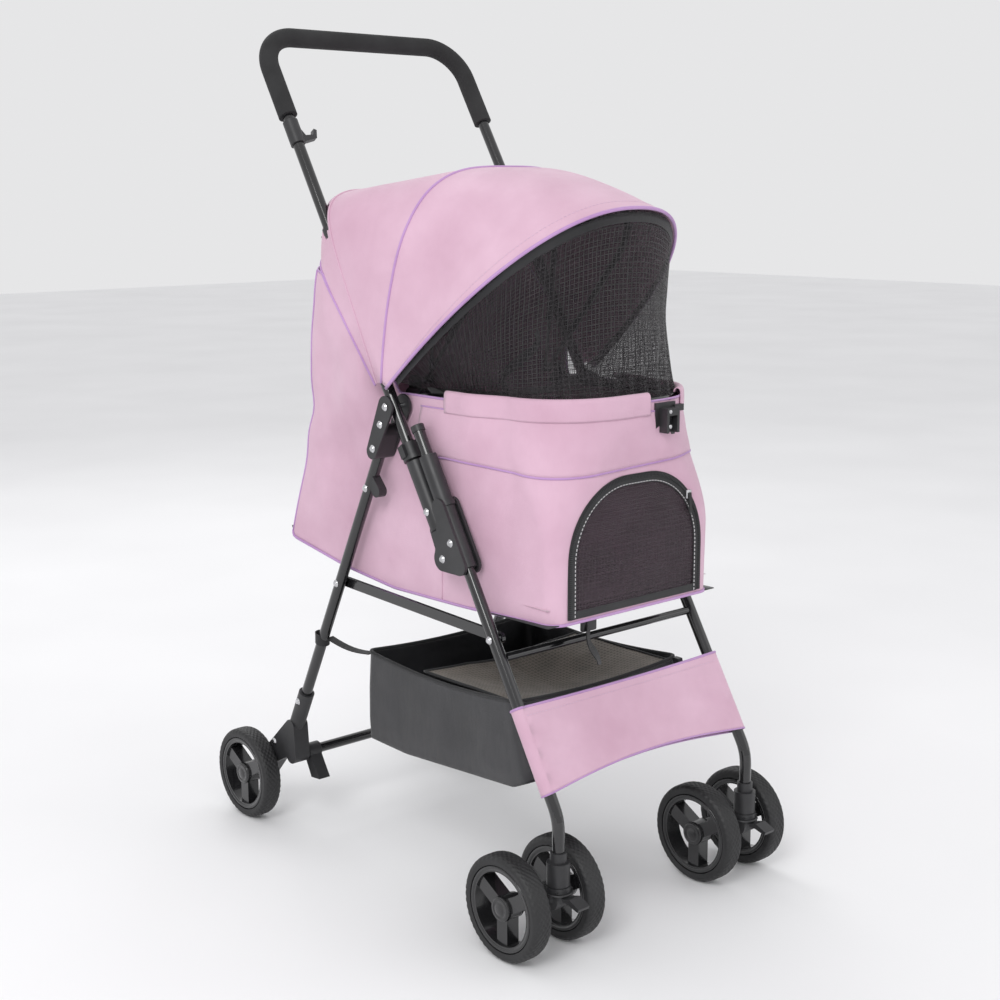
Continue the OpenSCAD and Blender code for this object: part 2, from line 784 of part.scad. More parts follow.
bow_r = 2.5;
front_bow_half = rail_x - 19;
middle_bow_half = front_bow_half - 2 * bow_r - 1;
front_bow_angle = 130;
middle_bow_angle = 96;
bow_inset = 34;
// A wire bow: two straight sides, two bends and a top, standing up from its pivot.
module bow(rise, half, a, bend) {
    translate([0, bow_pivot[0], bow_pivot[1]]) rotate([a - 90, 0, 0]) difference() {
        union() {
            for (s = [RIGHT, LEFT]) {
                translate([s * half, 0, 0]) cylinder(h = rise - bend, r = bow_r);
                translate([s * (half - bend), 0, rise - bend]) rotate([90, 0, 0]) rotate([0, 0, s > 0 ? 0 : 90])
                    rotate_extrude(angle = 90) translate([bend, 0]) circle(r = bow_r);
                x_disc(s * half, 0, 0, 5, 2 * bow_r);
            }
            translate([-half + bend, 0, rise]) rotate([0, 90, 0]) cylinder(h = 2 * (half - bend), r = bow_r);
        }
        for (s = [RIGHT, LEFT]) x_disc(s * half, 0, 0, bow_pin_r + run, 6 * bow_r);
    }
}

module canopy_front_bow() {
    color([0.2, 0.2, 0.2]) bow(arch_rise(front_bow_angle) - bow_inset, front_bow_half, front_bow_angle, 100);
}
module canopy_middle_bow() {
    color([0.2, 0.2, 0.2]) bow(arch_rise(middle_bow_angle) - bow_inset, middle_bow_half, middle_bow_angle, 60);
}

// ---- casters --------------------------------------------------------------------------

cup_r = 14;
fork_half = 15;
stem_r = 5;
module caster_cups() {
    color([0.13, 0.13, 0.14]) for (s = [RIGHT, LEFT]) difference() {
        union() {
            translate([s * side_x, swivel_y, cup_bottom_z]) cylinder(h = cup_top_z - cup_bottom_z, r = cup_r);
            translate([s * side_x, swivel_y, cup_top_z]) cylinder(h = 12, r = tube_r + 2.5);
        }
        translate([s * side_x, swivel_y, cup_bottom_z + 12]) cylinder(h = 60, r = tube_r);
        translate([s * side_x, swivel_y, cup_bottom_z - eps]) cylinder(h = 14, r = stem_r + run);
    }
}

module caster_fork(s) {
    x = s * side_x;
    top = cup_bottom_z - 0.6;
    color([0.12, 0.12, 0.13]) difference() {
        union() {
            translate([x, swivel_y, top - 18]) cylinder(h = 18, r = cup_r + 1);
            translate([x, swivel_y, top - 4]) cylinder(h = 15, r = stem_r);
            side_plate(x - fork_half + 2, x + fork_half - 2) {
                strap_2d([swivel_y, top - 16], [front_hub_y, wheel_r], 12, 13);
                polygon([[swivel_y - 12, top - 4], [swivel_y + 13, top - 1], [front_hub_y, wheel_r + 13],
                    [front_hub_y, wheel_r]]);
            }
            x_disc(x, front_hub_y, wheel_r, 12, pair_gap - 3);
        }
        x_disc(x, front_hub_y, wheel_r, axle_d / 2, pair_gap + 4);
    }
    color("silver") x_disc(x, front_hub_y, wheel_r, axle_d / 2, pair_gap + 2 * tyre_w - 10);
}

module caster_fork_right() { caster_fork(RIGHT); }
module caster_fork_left() { caster_fork(LEFT); }

lock_pivot = [swivel_y - tongue_root, cup_bottom_z - 13];
module caster_lock(s) {
    x = s * side_x;
    color([0.15, 0.15, 0.16]) side_plate(x - 9, x + 9) {
        translate(lock_pivot) circle(r = 1.8);
        polygon([lock_pivot + [0, 1.6], lock_pivot + [-10, 5], lock_pivot + [-tongue_len, -2], lock_pivot + [2 - tongue_len, -6],
            lock_pivot + [-9, -2], lock_pivot + [0, -1.6]]);
    }
}

module caster_lock_right() { caster_lock(RIGHT); }
module caster_lock_left() { caster_lock(LEFT); }

// ---- wheels ----------------------------------------------------------------------------

tyre_t = 12;
rim_ring = 8;
hub_r = 15;
rim_w = tyre_w - 4;
module wheel_rim(x, y) {
    inner = wheel_r - tyre_t - rim_ring;
    color([0.06, 0.06, 0.06]) translate([x, y, wheel_r]) rotate([0, 90, 0]) difference() {
        union() {
            difference() {
                cylinder(h = rim_w, r = wheel_r - tyre_t, center = true);
                cylinder(h = rim_w + 2 * eps, r = inner, center = true);
            }
            cylinder(h = rim_w + 1, r = hub_r, center = true);
            for (k = [0 : 2]) rotate([0, 0, 120 * k])
                translate([hub_r - 4, -9, -rim_w / 2 + 3]) cube([inner - hub_r + 6, 18, rim_w - 6]);
        }
        cylinder(h = rim_w + 8, r = axle_d / 2 + run, center = true);
    }
}

module tyre(x, y) {
    r0 = wheel_r - tyre_t;
    h = tyre_w / 2;
    color([0.04, 0.04, 0.04]) translate([x, y, wheel_r]) rotate([0, 90, 0]) rotate_extrude()
        polygon([[r0, -h + 1], [wheel_r - 5, -h], [wheel_r - 1.5, -h + 3], [wheel_r, -h + 7],
            [wheel_r, h - 7], [wheel_r - 1.5, h - 3], [wheel_r - 5, h], [r0, h - 1]]);
}

pair_x = pair_gap / 2 + tyre_w / 2;
module wheel_front_right_outer() { wheel_rim(-side_x - pair_x, front_hub_y); }
module wheel_front_right_inner() { wheel_rim(-side_x + pair_x, front_hub_y); }
module wheel_front_left_inner() { wheel_rim(side_x - pair_x, front_hub_y); }
module wheel_front_left_outer() { wheel_rim(side_x + pair_x, front_hub_y); }
module wheel_rear_right() { wheel_rim(-rear_wheel_x, rear_hub_y); }
module wheel_rear_left() { wheel_rim(rear_wheel_x, rear_hub_y); }
module tyre_front_right_outer() { tyre(-side_x - pair_x, front_hub_y); }
module tyre_front_right_inner() { tyre(-side_x + pair_x, front_hub_y); }
module tyre_front_left_inner() { tyre(side_x - pair_x, front_hub_y); }
module tyre_front_left_outer() { tyre(side_x + pair_x, front_hub_y); }
module tyre_rear_right() { tyre(-rear_wheel_x, rear_hub_y); }
module tyre_rear_left() { tyre(rear_wheel_x, rear_hub_y); }

front_leg_right();
front_leg_left();
leg_end_caps();
front_cross_tube();
lock_housing_right();
lock_housing_left();
top_rail();
rail_hinges();
tray_mount();
bag_shell();
floor_board();
floor_cushion();
door_panel();
front_band();
basket();
basket_hooks();
frame_rivets();
canopy();
canopy_front_bow();
canopy_middle_bow();
handle_tube();
handle_grip();
handle_socket_right();
handle_socket_left();
fold_hook();
canopy_clips();
handle_rivets();
lock_slider_right();
lock_slider_left();
rear_leg_right();
rear_leg_left();
rear_leg_head_right();
rear_leg_head_left();
rear_cross_tube();
rear_bracket_right();
rear_bracket_left();
rear_axles();
rear_rivets();
storage_knobs();
brake_pedal_right();
brake_pedal_left();
link_bars();
seat_cross_tube();
caster_cups();
caster_fork_right();
caster_fork_left();
caster_lock_right();
caster_lock_left();
wheel_front_right_outer();
wheel_front_right_inner();
wheel_front_left_inner();
wheel_front_left_outer();
wheel_rear_right();
wheel_rear_left();
tyre_front_right_outer();
tyre_front_right_inner();
tyre_front_left_inner();
tyre_front_left_outer();
tyre_rear_right();
tyre_rear_left();
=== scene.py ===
import json
from math import copysign, cos, exp, pi, radians, sin, sqrt, tan
import random

import bpy
from mathutils import Matrix, Vector, noise


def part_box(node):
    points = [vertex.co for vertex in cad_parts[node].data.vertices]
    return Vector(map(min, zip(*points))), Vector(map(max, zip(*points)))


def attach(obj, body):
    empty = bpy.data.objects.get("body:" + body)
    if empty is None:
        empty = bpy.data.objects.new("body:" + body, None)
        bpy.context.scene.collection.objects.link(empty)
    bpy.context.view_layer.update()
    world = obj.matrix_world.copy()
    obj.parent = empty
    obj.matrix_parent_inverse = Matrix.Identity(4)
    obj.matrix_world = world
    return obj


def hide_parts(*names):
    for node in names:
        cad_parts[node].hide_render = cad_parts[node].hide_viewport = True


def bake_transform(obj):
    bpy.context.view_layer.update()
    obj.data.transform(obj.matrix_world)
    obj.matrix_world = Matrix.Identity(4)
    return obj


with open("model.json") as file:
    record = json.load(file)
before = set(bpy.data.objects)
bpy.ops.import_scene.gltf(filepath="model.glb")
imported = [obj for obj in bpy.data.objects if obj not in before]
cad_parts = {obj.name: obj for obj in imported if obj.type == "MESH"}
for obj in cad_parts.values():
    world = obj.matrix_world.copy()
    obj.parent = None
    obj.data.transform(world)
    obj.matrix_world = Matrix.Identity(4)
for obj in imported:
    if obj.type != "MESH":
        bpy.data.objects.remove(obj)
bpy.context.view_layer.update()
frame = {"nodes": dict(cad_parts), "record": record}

random.seed(7)
MM = 0.001
nodes = frame["nodes"]


# Places, all read from the frame

def lo(node):
    return Vector(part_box(node)[0])


def hi(node):
    return Vector(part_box(node)[1])


def mid(node):
    return (lo(node) + hi(node)) / 2


BAG_LO, BAG_HI = lo("bag_shell"), hi("bag_shell")
BAG_W = BAG_HI.x - 1.0 * MM
BAG_FRONT = BAG_LO.y
RAIL_Z = mid("top_rail").z
RIM_Z = RAIL_Z + 2 * MM
HINGE = Vector((0, hi("top_rail").y - 6 * MM, RAIL_Z + 2 * MM))
CANOPY_HALF = hi("canopy").x - 0.6 * MM
HALF_FRONT = BAG_W - 10 * MM
TAPER_Y = -110 * MM
DOOR_LO, DOOR_HI = lo("door_panel"), hi("door_panel")
SIDE_X = mid("front_leg_left").x


# Mesh helpers

def make_object(name, verts, faces, material, smooth=True):
    mesh = bpy.data.meshes.new(name)
    mesh.from_pydata([tuple(v) for v in verts], [], faces)
    mesh.validate()
    mesh.update()
    obj = bpy.data.objects.new(name, mesh)
    bpy.context.scene.collection.objects.link(obj)
    obj.data.materials.append(material)
    if smooth:
        for poly in mesh.polygons:
            poly.use_smooth = True
    return obj


def apply_modifiers(obj):
    """Bakes the modifiers into the mesh."""
    deps = bpy.context.evaluated_depsgraph_get()
    mesh = bpy.data.meshes.new_from_object(obj.evaluated_get(deps))
    for material in obj.data.materials:
        if material.name not in [m.name for m in mesh.materials if m]:
            mesh.materials.append(material)
    obj.modifiers.clear()
    obj.data = mesh
    return obj


def thicken(obj, thickness, levels=0):
    solid = obj.modifiers.new("thick", "SOLIDIFY")
    solid.thickness = thickness
    solid.offset = 0
    if levels:
        sub = obj.modifiers.new("round", "SUBSURF")
        sub.levels = sub.render_levels = levels
    return apply_modifiers(obj)


def grid_object(name, point, rows, cols, material, closed=False, keep=None, layout=None):
    """A surface from point(i / rows, j / cols). closed joins the last column to the first.
    layout = (width, length) in metres lays the surface out flat for a net's threads."""
    count = cols if closed else cols + 1
    verts = [point(i / rows, j / cols) for i in range(rows + 1) for j in range(count)]
    faces = []
    for i in range(rows):
        for j in range(cols):
            a = i * count + j
            b = i * count + (j + 1) % count
            if keep is None or keep((i + 0.5) / rows, (j + 0.5) / cols):
                faces.append((a, b, b + count, a + count))
    obj = make_object(name, verts, faces, material)
    if layout:
        flat = obj.data.uv_layers.new(name="flat")
        for loop in obj.data.loops:
            row, col = divmod(loop.vertex_index, count)
            flat.data[loop.index].uv = (layout[0] * col / cols, layout[1] * row / rows)
    return obj


def frames_along(points, closed=False):
    """Two cross directions at each point of a path, turned as little as possible."""
    count = len(points)
    tangents = []
    for i in range(count):
        before = points[i - 1] if (closed or i > 0) else points[i]
        after = points[(i + 1) % count] if (closed or i < count - 1) else points[i]
        tangents.append((after - before).normalized())
    side = tangents[0].orthogonal().normalized()
    result = []
    for tangent in tangents:
        side = (side - tangent * side.dot(tangent)).normalized()
        result.append((side, tangent.cross(side)))
    return result


def tube(name, points, radius, material, sides=8, closed=False):
    """A round cord or wire along a path."""
    points = [Vector(p) for p in points]
    cross = frames_along(points, closed)
    verts, faces = [], []
    count = len(points)
    for p, (a, b) in zip(points, cross):
        for k in range(sides):
            t = 2 * pi * k / sides
            verts.append(p + a * (radius * cos(t)) + b * (radius * sin(t)))
    for i in range(count if closed else count - 1):
        j = (i + 1) % count
        for k in range(sides):
            m = (k + 1) % sides
            faces.append((i * sides + k, i * sides + m, j * sides + m, j * sides + k))
    if not closed:
        faces.append(tuple(range(sides))[::-1])
        faces.append(tuple((count - 1) * sides + k for k in range(sides)))
    return make_object(name, verts, faces, material)


def ribbon(name, points, normals, width, thickness, material):
    """A flat strap along a path; each normal is the strap's face direction there."""
    points = [Vector(p) for p in points]
    verts, faces = [], []
    count = len(points)
    for i, p in enumerate(points):
        tangent = (points[min(i + 1, count - 1)] - points[max(i - 1, 0)]).normalized()
        n = Vector(normals[i] if isinstance(normals, list) else normals)
        n = (n - tangent * n.dot(tangent)).normalized()
        w = tangent.cross(n)
        for sw, sn in ((-1, -1), (1, -1), (1, 1), (-1, 1)):
            verts.append(p + w * (sw * width / 2) + n * (sn * thickness / 2))
    for i in range(count - 1):
        for k in range(4):
            m = (k + 1) % 4
            faces.append((i * 4 + k, i * 4 + m, i * 4 + 4 + m, i * 4 + 4 + k))
    faces.append((3, 2, 1, 0))
    faces.append(tuple((count - 1) * 4 + k for k in range(4)))
    return make_object(name, verts, faces, material, smooth=False)


def dashes(name, points, normals, length, gap, width, height, material):
    """A row of stitches or zip teeth: small blocks laid along a path."""
    points = [Vector(p) for p in points]
    verts, faces = [], []
    travelled, next_at = 0.0, gap
    for i in range(len(points) - 1):
        a, b = points[i], points[i + 1]
        seg = (b - a).length
        if seg < 1e-7:
            continue
        tangent = (b - a) / seg
        n = Vector(normals[i] if isinstance(normals, list) else normals)
        n = (n - tangent * n.dot(tangent)).normalized()
        w = tangent.cross(n)
        while next_at <= travelled + seg:
            c = a + tangent * (next_at - travelled)
            base = len(verts)
            for st, sw, sn in ((-1, -1, 0), (1, -1, 0), (1, 1, 0), (-1, 1, 0), (-1, -1, 1), (1, -1, 1),
                               (1, 1, 1), (-1, 1, 1)):
                pinch = 0.8 if sn else 1.0
                verts.append(c + tangent * (st * length / 2 * pinch) + w * (sw * width / 2 * pinch) + n * (sn * height))
            for f in ((3, 2, 1, 0), (4, 5, 6, 7), (0, 1, 5, 4), (1, 2, 6, 5), (2, 3, 7, 6), (3, 0, 4, 7)):
                faces.append(tuple(base + k for k in f))
            next_at += length + gap
        travelled += seg
    return make_object(name, verts, faces, material, smooth=False)


def lathe(name, profile, origin, axis_x, material, turns=64, bump=None):
    """Turns (radius, along) pairs round an axis parallel to X, facing side axis_x."""
    verts, faces = [], []
    n = len(profile)
    for i in range(turns):
        t = 2 * pi * i / turns
        for j, (r, along) in enumerate(profile):
            rr = r + (bump(t, j, along) if bump else 0.0)
            verts.append(Vector((origin[0] + axis_x * along, origin[1] + rr * cos(t),
                                 origin[2] + rr * sin(t))))
    for i in range(turns):
        k = (i + 1) % turns
        for j in range(n - 1):
            f = (i * n + j, i * n + j + 1, k * n + j + 1, k * n + j)
            faces.append(f if axis_x > 0 else f[::-1])
    return make_object(name, verts, faces, material)


def join(name, parts):
    """Several mesh objects made into one."""
    verts, faces, materials = [], [], []
    for part in parts:
        base = len(verts)
        verts += [v.co.copy() for v in part.data.vertices]
        material = part.data.materials[0]
        if material not in materials:
            materials.append(material)
        for poly in part.data.polygons:
            faces.append((tuple(base + k for k in poly.vertices), poly.use_smooth,
                          materials.index(material)))
    mesh = bpy.data.meshes.new(name)
    mesh.from_pydata([tuple(v) for v in verts], [], [f[0] for f in faces])
    for material in materials:
        mesh.materials.append(material)
    for poly, (_, smooth, index) in zip(mesh.polygons, faces):
        poly.use_smooth = smooth
        poly.material_index = index
    obj = bpy.data.objects.new(name, mesh)
    bpy.context.scene.collection.objects.link(obj)
    for part in parts:
        bpy.data.objects.remove(part)
    return obj


def lerp(a, b, t):
    return a + (b - a) * t


def smooth_step(a, b, x):
    t = min(max((x - a) / (b - a), 0.0), 1.0)
    return t * t * (3 - 2 * t)


def polyline(table, s):
    """The point at parameter s on a list of (s, point) pairs."""
    for (s0, p0), (s1, p1) in zip(table, table[1:]):
        if s <= s1:
            return Vector(p0).lerp(Vector(p1), (s - s0) / (s1 - s0))
    return Vector(table[-1][1])


def wrinkle(p, scale, seed=0.0):
    """Soft cloth waves between about -1 and 1."""
    q = Vector((p.x * scale[0] + seed, p.y * scale[1] - seed, p.z * scale[2] + 2 * seed))
    ridge = 1 - 2 * abs(noise.noise(q))
    return 0.6 * ridge + 0.7 * noise.noise(q * 2.3)


# Materials

class Nodes:
    """A short way to build a node tree."""

    def __init__(self, name):
        self.material = bpy.data.materials.new(name)
        self.material.use_nodes = True
        self.tree = self.material.node_tree
        self.tree.nodes.clear()
        self.out = self.tree.nodes.new("ShaderNodeOutputMaterial")
        self.shader = self.tree.nodes.new("ShaderNodeBsdfPrincipled")
        self.link(self.shader.outputs[0], self.out.inputs[0])
        self.coords = self.tree.nodes.new("ShaderNodeTexCoord").outputs["Object"]

    def link(self, a, b):
        self.tree.links.new(a, b)

    def add(self, kind, **inputs):
        node = self.tree.nodes.new(kind)
        for key, value in inputs.items():
            if key.startswith("p_"):
                setattr(node, key[2:], value)
                continue
            socket = node.inputs[int(key[1:])] if key[0] == "i" and key[1:].isdigit() else node.inputs[key]
            if isinstance(value, bpy.types.NodeSocket):
                self.link(value, socket)
            else:
                socket.default_value = value
        return node

    def mapped(self, scale, rotation=(0, 0, 0)):
        return self.add("ShaderNodeMapping", Vector=self.coords, Scale=scale, Rotation=rotation).outputs[0]

    def noise(self, scale, detail=3.0, rough=0.55, vector=None):
        return self.add("ShaderNodeTexNoise", Vector=vector or self.coords, Scale=scale, Detail=detail,
                        Roughness=rough).outputs["Fac"]

    def wave(self, scale, direction, distortion=0.0):
        return self.add("ShaderNodeTexWave", p_bands_direction=direction, Vector=self.coords, Scale=scale,
                        Distortion=distortion).outputs["Fac"]

    def math(self, operation, a, b=0.0):
        return self.add("ShaderNodeMath", p_operation=operation, i0=a, i1=b).outputs[0]

    def ramp(self, fac, stops):
        node = self.add("ShaderNodeValToRGB", Fac=fac)
        ramp = node.color_ramp
        while len(ramp.elements) < len(stops):
            ramp.elements.new(0.5)
        for element, (pos, colour) in zip(ramp.elements, stops):
            element.position = pos
            element.color = (*colour, 1) if len(colour) == 3 else colour
        return node.outputs[0]

    def span(self, fac, low, high):
        return self.add("ShaderNodeMapRange", Value=fac, **{"To Min": low, "To Max": high}).outputs[0]

    def bump(self, height, distance, strength=1.0, normal=None):
        node = self.add("ShaderNodeBump", Height=height, Distance=distance, Strength=strength)
        if normal is not None:
            self.link(normal, node.inputs["Normal"])
        return node.outputs[0]

    def finish(self, colour=None, roughness=None, normal=None, **fixed):
        inputs = self.shader.inputs
        for key, value in (("Base Color", colour), ("Roughness", roughness), ("Normal", normal)):
            if isinstance(value, bpy.types.NodeSocket):
                self.link(value, inputs[key])
            elif value is not None:
                inputs[key].default_value = (*value, 1) if key == "Base Color" else value
        for key, value in fixed.items():
            inputs[key.replace("_", " ")].default_value = value
        return self.material


def woven(name, dark, light, thread=900.0, sheen=0.25, rough=(0.62, 0.8), crease=0.0006, specular=0.35):
    """Plain-woven cloth: fine threads both ways, slow shade changes and soft creases."""
    n = Nodes(name)
    threads = n.math("ADD", n.wave(thread, "X"), n.wave(thread, "Z"))
    threads = n.math("ADD", threads, n.wave(thread, "Y"))
    slow = n.noise(9.0, 4.0)
    colour = n.ramp(slow, [(0.3, dark), (0.7, light)])
    fine = n.bump(threads, 0.00012, 0.35)
    folds = n.bump(n.noise(38.0, 3.0, 0.5, n.mapped((1, 1, 0.45))), crease, 0.8, fine)
    return n.finish(colour, n.span(n.noise(60.0), *rough), folds, Sheen_Weight=sheen, Sheen_Roughness=0.5,
                    Specular_IOR_Level=specular)


def moulded(name, colour, rough=(0.35, 0.5), grain=900.0, depth=0.00012, coat=0.0):
    """Moulded plastic or paint: a fine grain, slight wear and uneven gloss."""
    n = Nodes(name)
    tone = n.ramp(n.noise(22.0, 4.0), [(0.35, tuple(c * 0.8 for c in colour)),
                                       (0.75, tuple(min(c * 1.35, 1) for c in colour))])
    normal = n.bump(n.noise(grain, 2.0), depth, 0.5)
    return n.finish(tone, n.span(n.noise(45.0, 5.0), *rough), normal, Coat_Weight=coat, Coat_Roughness=0.08)


def netting(name, colour, pitch, cover, coarse, coarse_line):
    """A see-through net: fine threads that cover a share of the sheet, and a coarser grid of thick threads."""
    n = Nodes(name)
    flat = n.tree.nodes.new("ShaderNodeUVMap")
    flat.uv_map = "flat"
    separate = n.add("ShaderNodeSeparateXYZ", Vector=flat.outputs[0])
    fine, heavy = None, None
    for axis in range(2):
        t = n.math("MULTIPLY", separate.outputs[axis], 2 * pi / pitch)
        t = n.math("MULTIPLY", n.math("COSINE", t), 0.5)
        fine = t if fine is None else n.math("MAXIMUM", fine, t)
        wobble = n.math("MULTIPLY", n.noise(14.0, 2.0), 0.5)
        t = n.math("ADD", n.math("MULTIPLY", separate.outputs[axis], 1.0 / coarse), wobble)
        t = n.math("GREATER_THAN", n.math("FRACT", t), 1 - coarse_line)
        heavy = t if heavy is None else n.math("MAXIMUM", heavy, t)
    body = n.math("ADD", n.math("MULTIPLY", fine, 0.5), cover)
    alpha = n.math("MAXIMUM", body, n.math("MULTIPLY", heavy, 0.86))
    n.link(alpha, n.shader.inputs["Alpha"])
    tone = n.ramp(n.noise(30.0, 3.0), [(0.3, tuple(c * 0.7 for c in colour)), (0.7, colour)])
    return n.finish(tone, n.span(n.noise(80.0), 0.55, 0.75), n.bump(n.noise(500.0), 0.0002, 0.4),
                    Sheen_Weight=0.1)


PINK = woven("pink_cloth", (0.60, 0.37, 0.48), (0.72, 0.48, 0.60), crease=0.0016)
PIPING = woven("lilac_piping", (0.44, 0.24, 0.50), (0.56, 0.34, 0.62), thread=1400.0)
NYLON = woven("black_nylon", (0.010, 0.010, 0.012), (0.022, 0.022, 0.026), thread=1100.0, sheen=0.12,
              rough=(0.3, 0.45), crease=0.0014, specular=0.6)
WEBBING = woven("black_webbing", (0.012, 0.012, 0.013), (0.03, 0.03, 0.032), thread=700.0, sheen=0.15)
CUSHION = woven("cushion_cloth", (0.46, 0.33, 0.40), (0.60, 0.45, 0.52), sheen=0.4)
THREAD = woven("white_thread", (0.62, 0.60, 0.62), (0.78, 0.76, 0.78), thread=2400.0)
PINK_THREAD = woven("pink_thread", (0.60, 0.42, 0.56), (0.72, 0.54, 0.66), thread=2400.0)
TUBE = moulded("black_tube", (0.010, 0.010, 0.011), (0.10, 0.2), 500.0, 0.00003, coat=0.6)
PLASTIC = moulded("satin_black_plastic", (0.026, 0.026, 0.028), (0.34, 0.5), 1100.0, 0.00015)
RIM = moulded("gloss_black_plastic", (0.012, 0.012, 0.013), (0.16, 0.28), 700.0, 0.00005, coat=0.4)
RUBBER = moulded("tyre_rubber", (0.016, 0.016, 0.017), (0.45, 0.62), 1500.0, 0.0003)
FOAM = moulded("foam", (0.020, 0.020, 0.021), (0.8, 0.95), 1700.0, 0.0006)
BOARD = moulded("board", (0.04, 0.04, 0.042), (0.5, 0.7), 800.0, 0.0002)
WINDOW_NET = netting("window_net", (0.012, 0.009, 0.012), 2.4 * MM, 0.30, 6.6 * MM, 0.17)
DOOR_NET = netting("door_net", (0.035, 0.018, 0.028), 2.0 * MM, 0.55, 5.0 * MM, 0.16)
BASKET_NET = netting("basket_net", (0.30, 0.26, 0.22), 3.0 * MM, 0.50, 6.0 * MM, 0.4)


def steel():
    n = Nodes("rivet_steel")
    tone = n.ramp(n.noise(120.0, 4.0), [(0.3, (0.45, 0.45, 0.46)), (0.7, (0.72, 0.72, 0.74))])
    return n.finish(tone, n.span(n.noise(200.0), 0.18, 0.34), n.bump(n.noise(900.0), 0.00005, 0.5),
                    Metallic=1.0)


STEEL = steel()

CAD_LOOKS = {
    "foam": FOAM, "rivet_steel": STEEL, "black_tube": TUBE, "satin_black_plastic": PLASTIC,
    "gloss_black_plastic": RIM, "tyre_rubber": RUBBER, "board": BOARD, "black_nylon": NYLON,
    "pink_cloth": PINK, "cushion_cloth": CUSHION, "dark_mesh": DOOR_NET,
}


def finish_cad_nodes():
    slots = {part["node"]: part["material_slot"] for part in frame["record"]["subparts"]}
    for name, obj in nodes.items():
        look = CAD_LOOKS[slots[name]]
        if not obj.material_slots:
            obj.data.materials.append(look)
        for material_slot in obj.material_slots:
            material_slot.material = look


finish_cad_nodes()


def place(obj, body, stands_for=()):
    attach(obj, body)
    if stands_for:
        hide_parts(*stands_for)
    return obj


# Bag

LEG_TOP = Vector((0, mid("rear_leg_head_right").y - 14 * MM, hi("rear_leg_head_right").z - 14 * MM))
BACK_TOP = Vector((0, hi("bag_shell").y - 130 * MM, BAG_HI.z))
LOW = [(0.0, (0, BAG_FRONT, BAG_LO.z + 5 * MM)), (0.56, (0, 9 * MM, BAG_LO.z + 1 * MM)),
       (0.75, (0, 113 * MM, BAG_LO.z + 11 * MM)), (0.97, (0, BAG_HI.y - 10 * MM, BAG_LO.z + 32 * MM)),
       (1.0, (0, BAG_HI.y - 1 * MM, BAG_LO.z + 46 * MM))]
# behind the hinge the rim climbs just inside the canopy's rear edge
HIGH = [(0.0, (0, BAG_FRONT, RIM_Z)), (0.60, (0, -8 * MM, RIM_Z)), (0.64, (0, 10 * MM, RIM_Z + 32 * MM)),
        (1.0, (0, BACK_TOP.y, BACK_TOP.z))]


FRONT_STEPS, CORNER_STEPS, SIDE_STEPS = 40, 12, 64


def half_plan(v):
    """(x, s, out) from the middle of the front, round the left side, to the middle of the rear at height v."""
    length = BAG_HI.y - BAG_LO.y
    r = lerp(20 * MM, 94 * MM, smooth_step(0.35, 0.92, v))
    back = 14 * MM
    taper_s = (TAPER_Y - BAG_FRONT) / length
    front = HALF_FRONT - 6 * MM * smooth_step(0.4, 1.0, v)
    flat = front - r
    path = [(flat * k / FRONT_STEPS, 0.0, (0, -1)) for k in range(FRONT_STEPS + 1)]
    path += [(flat + r * sin(a), r / length * (1 - cos(a)), (sin(a), -cos(a)))
             for a in (pi / 2 * k / CORNER_STEPS for k in range(1, CORNER_STEPS))]
    start, end = r / length, 1 - back / length
    for k in range(SIDE_STEPS + 1):
        s = lerp(start, end, k / SIDE_STEPS)
        path.append((lerp(front, BAG_W, smooth_step(0.0, 1.0,
                                                    min((s - start) / max(taper_s - start, 0.05),
                                                        1))), s, (1, 0)))
    path += [(BAG_W - back + back * cos(a), 1 - back / length * (1 - sin(a)),
              (cos(a), sin(a)))
             for a in (pi / 12 * k for k in range(1, 6))]
    path += [((BAG_W - back) * (1 - k / 14), 1.0, (0, 1)) for k in range(15)]
    return path


def perimeter(v):
    left = half_plan(v)
    return left + [(-x, s, (-n[0], n[1])) for x, s, n in reversed(left[1:-1])]


PLAN_CACHE = {}


def plan(v):
    key = round(v, 4)
    if key not in PLAN_CACHE:
        PLAN_CACHE[key] = perimeter(key)
    return PLAN_CACHE[key]


BAG_PATH = plan(0.5)


def bag_base(x, s, v):
    p = polyline(LOW, s).lerp(polyline(HIGH, s), v)
    return Vector((x, p.y, p.z))


def arch_half(z, grow=0.0):
    """Half the door's width at height z, or nothing above it."""
    half = (DOOR_HI.x - DOOR_LO.x) / 2 + grow
    radius = half * 0.85
    top = DOOR_HI.z + grow
    if z > top or z < DOOR_LO.z - grow:
        return -1.0
    if z < top - radius:
        return half
    return half - radius + sqrt(max(radius ** 2 - (z - top + radius) ** 2, 0))


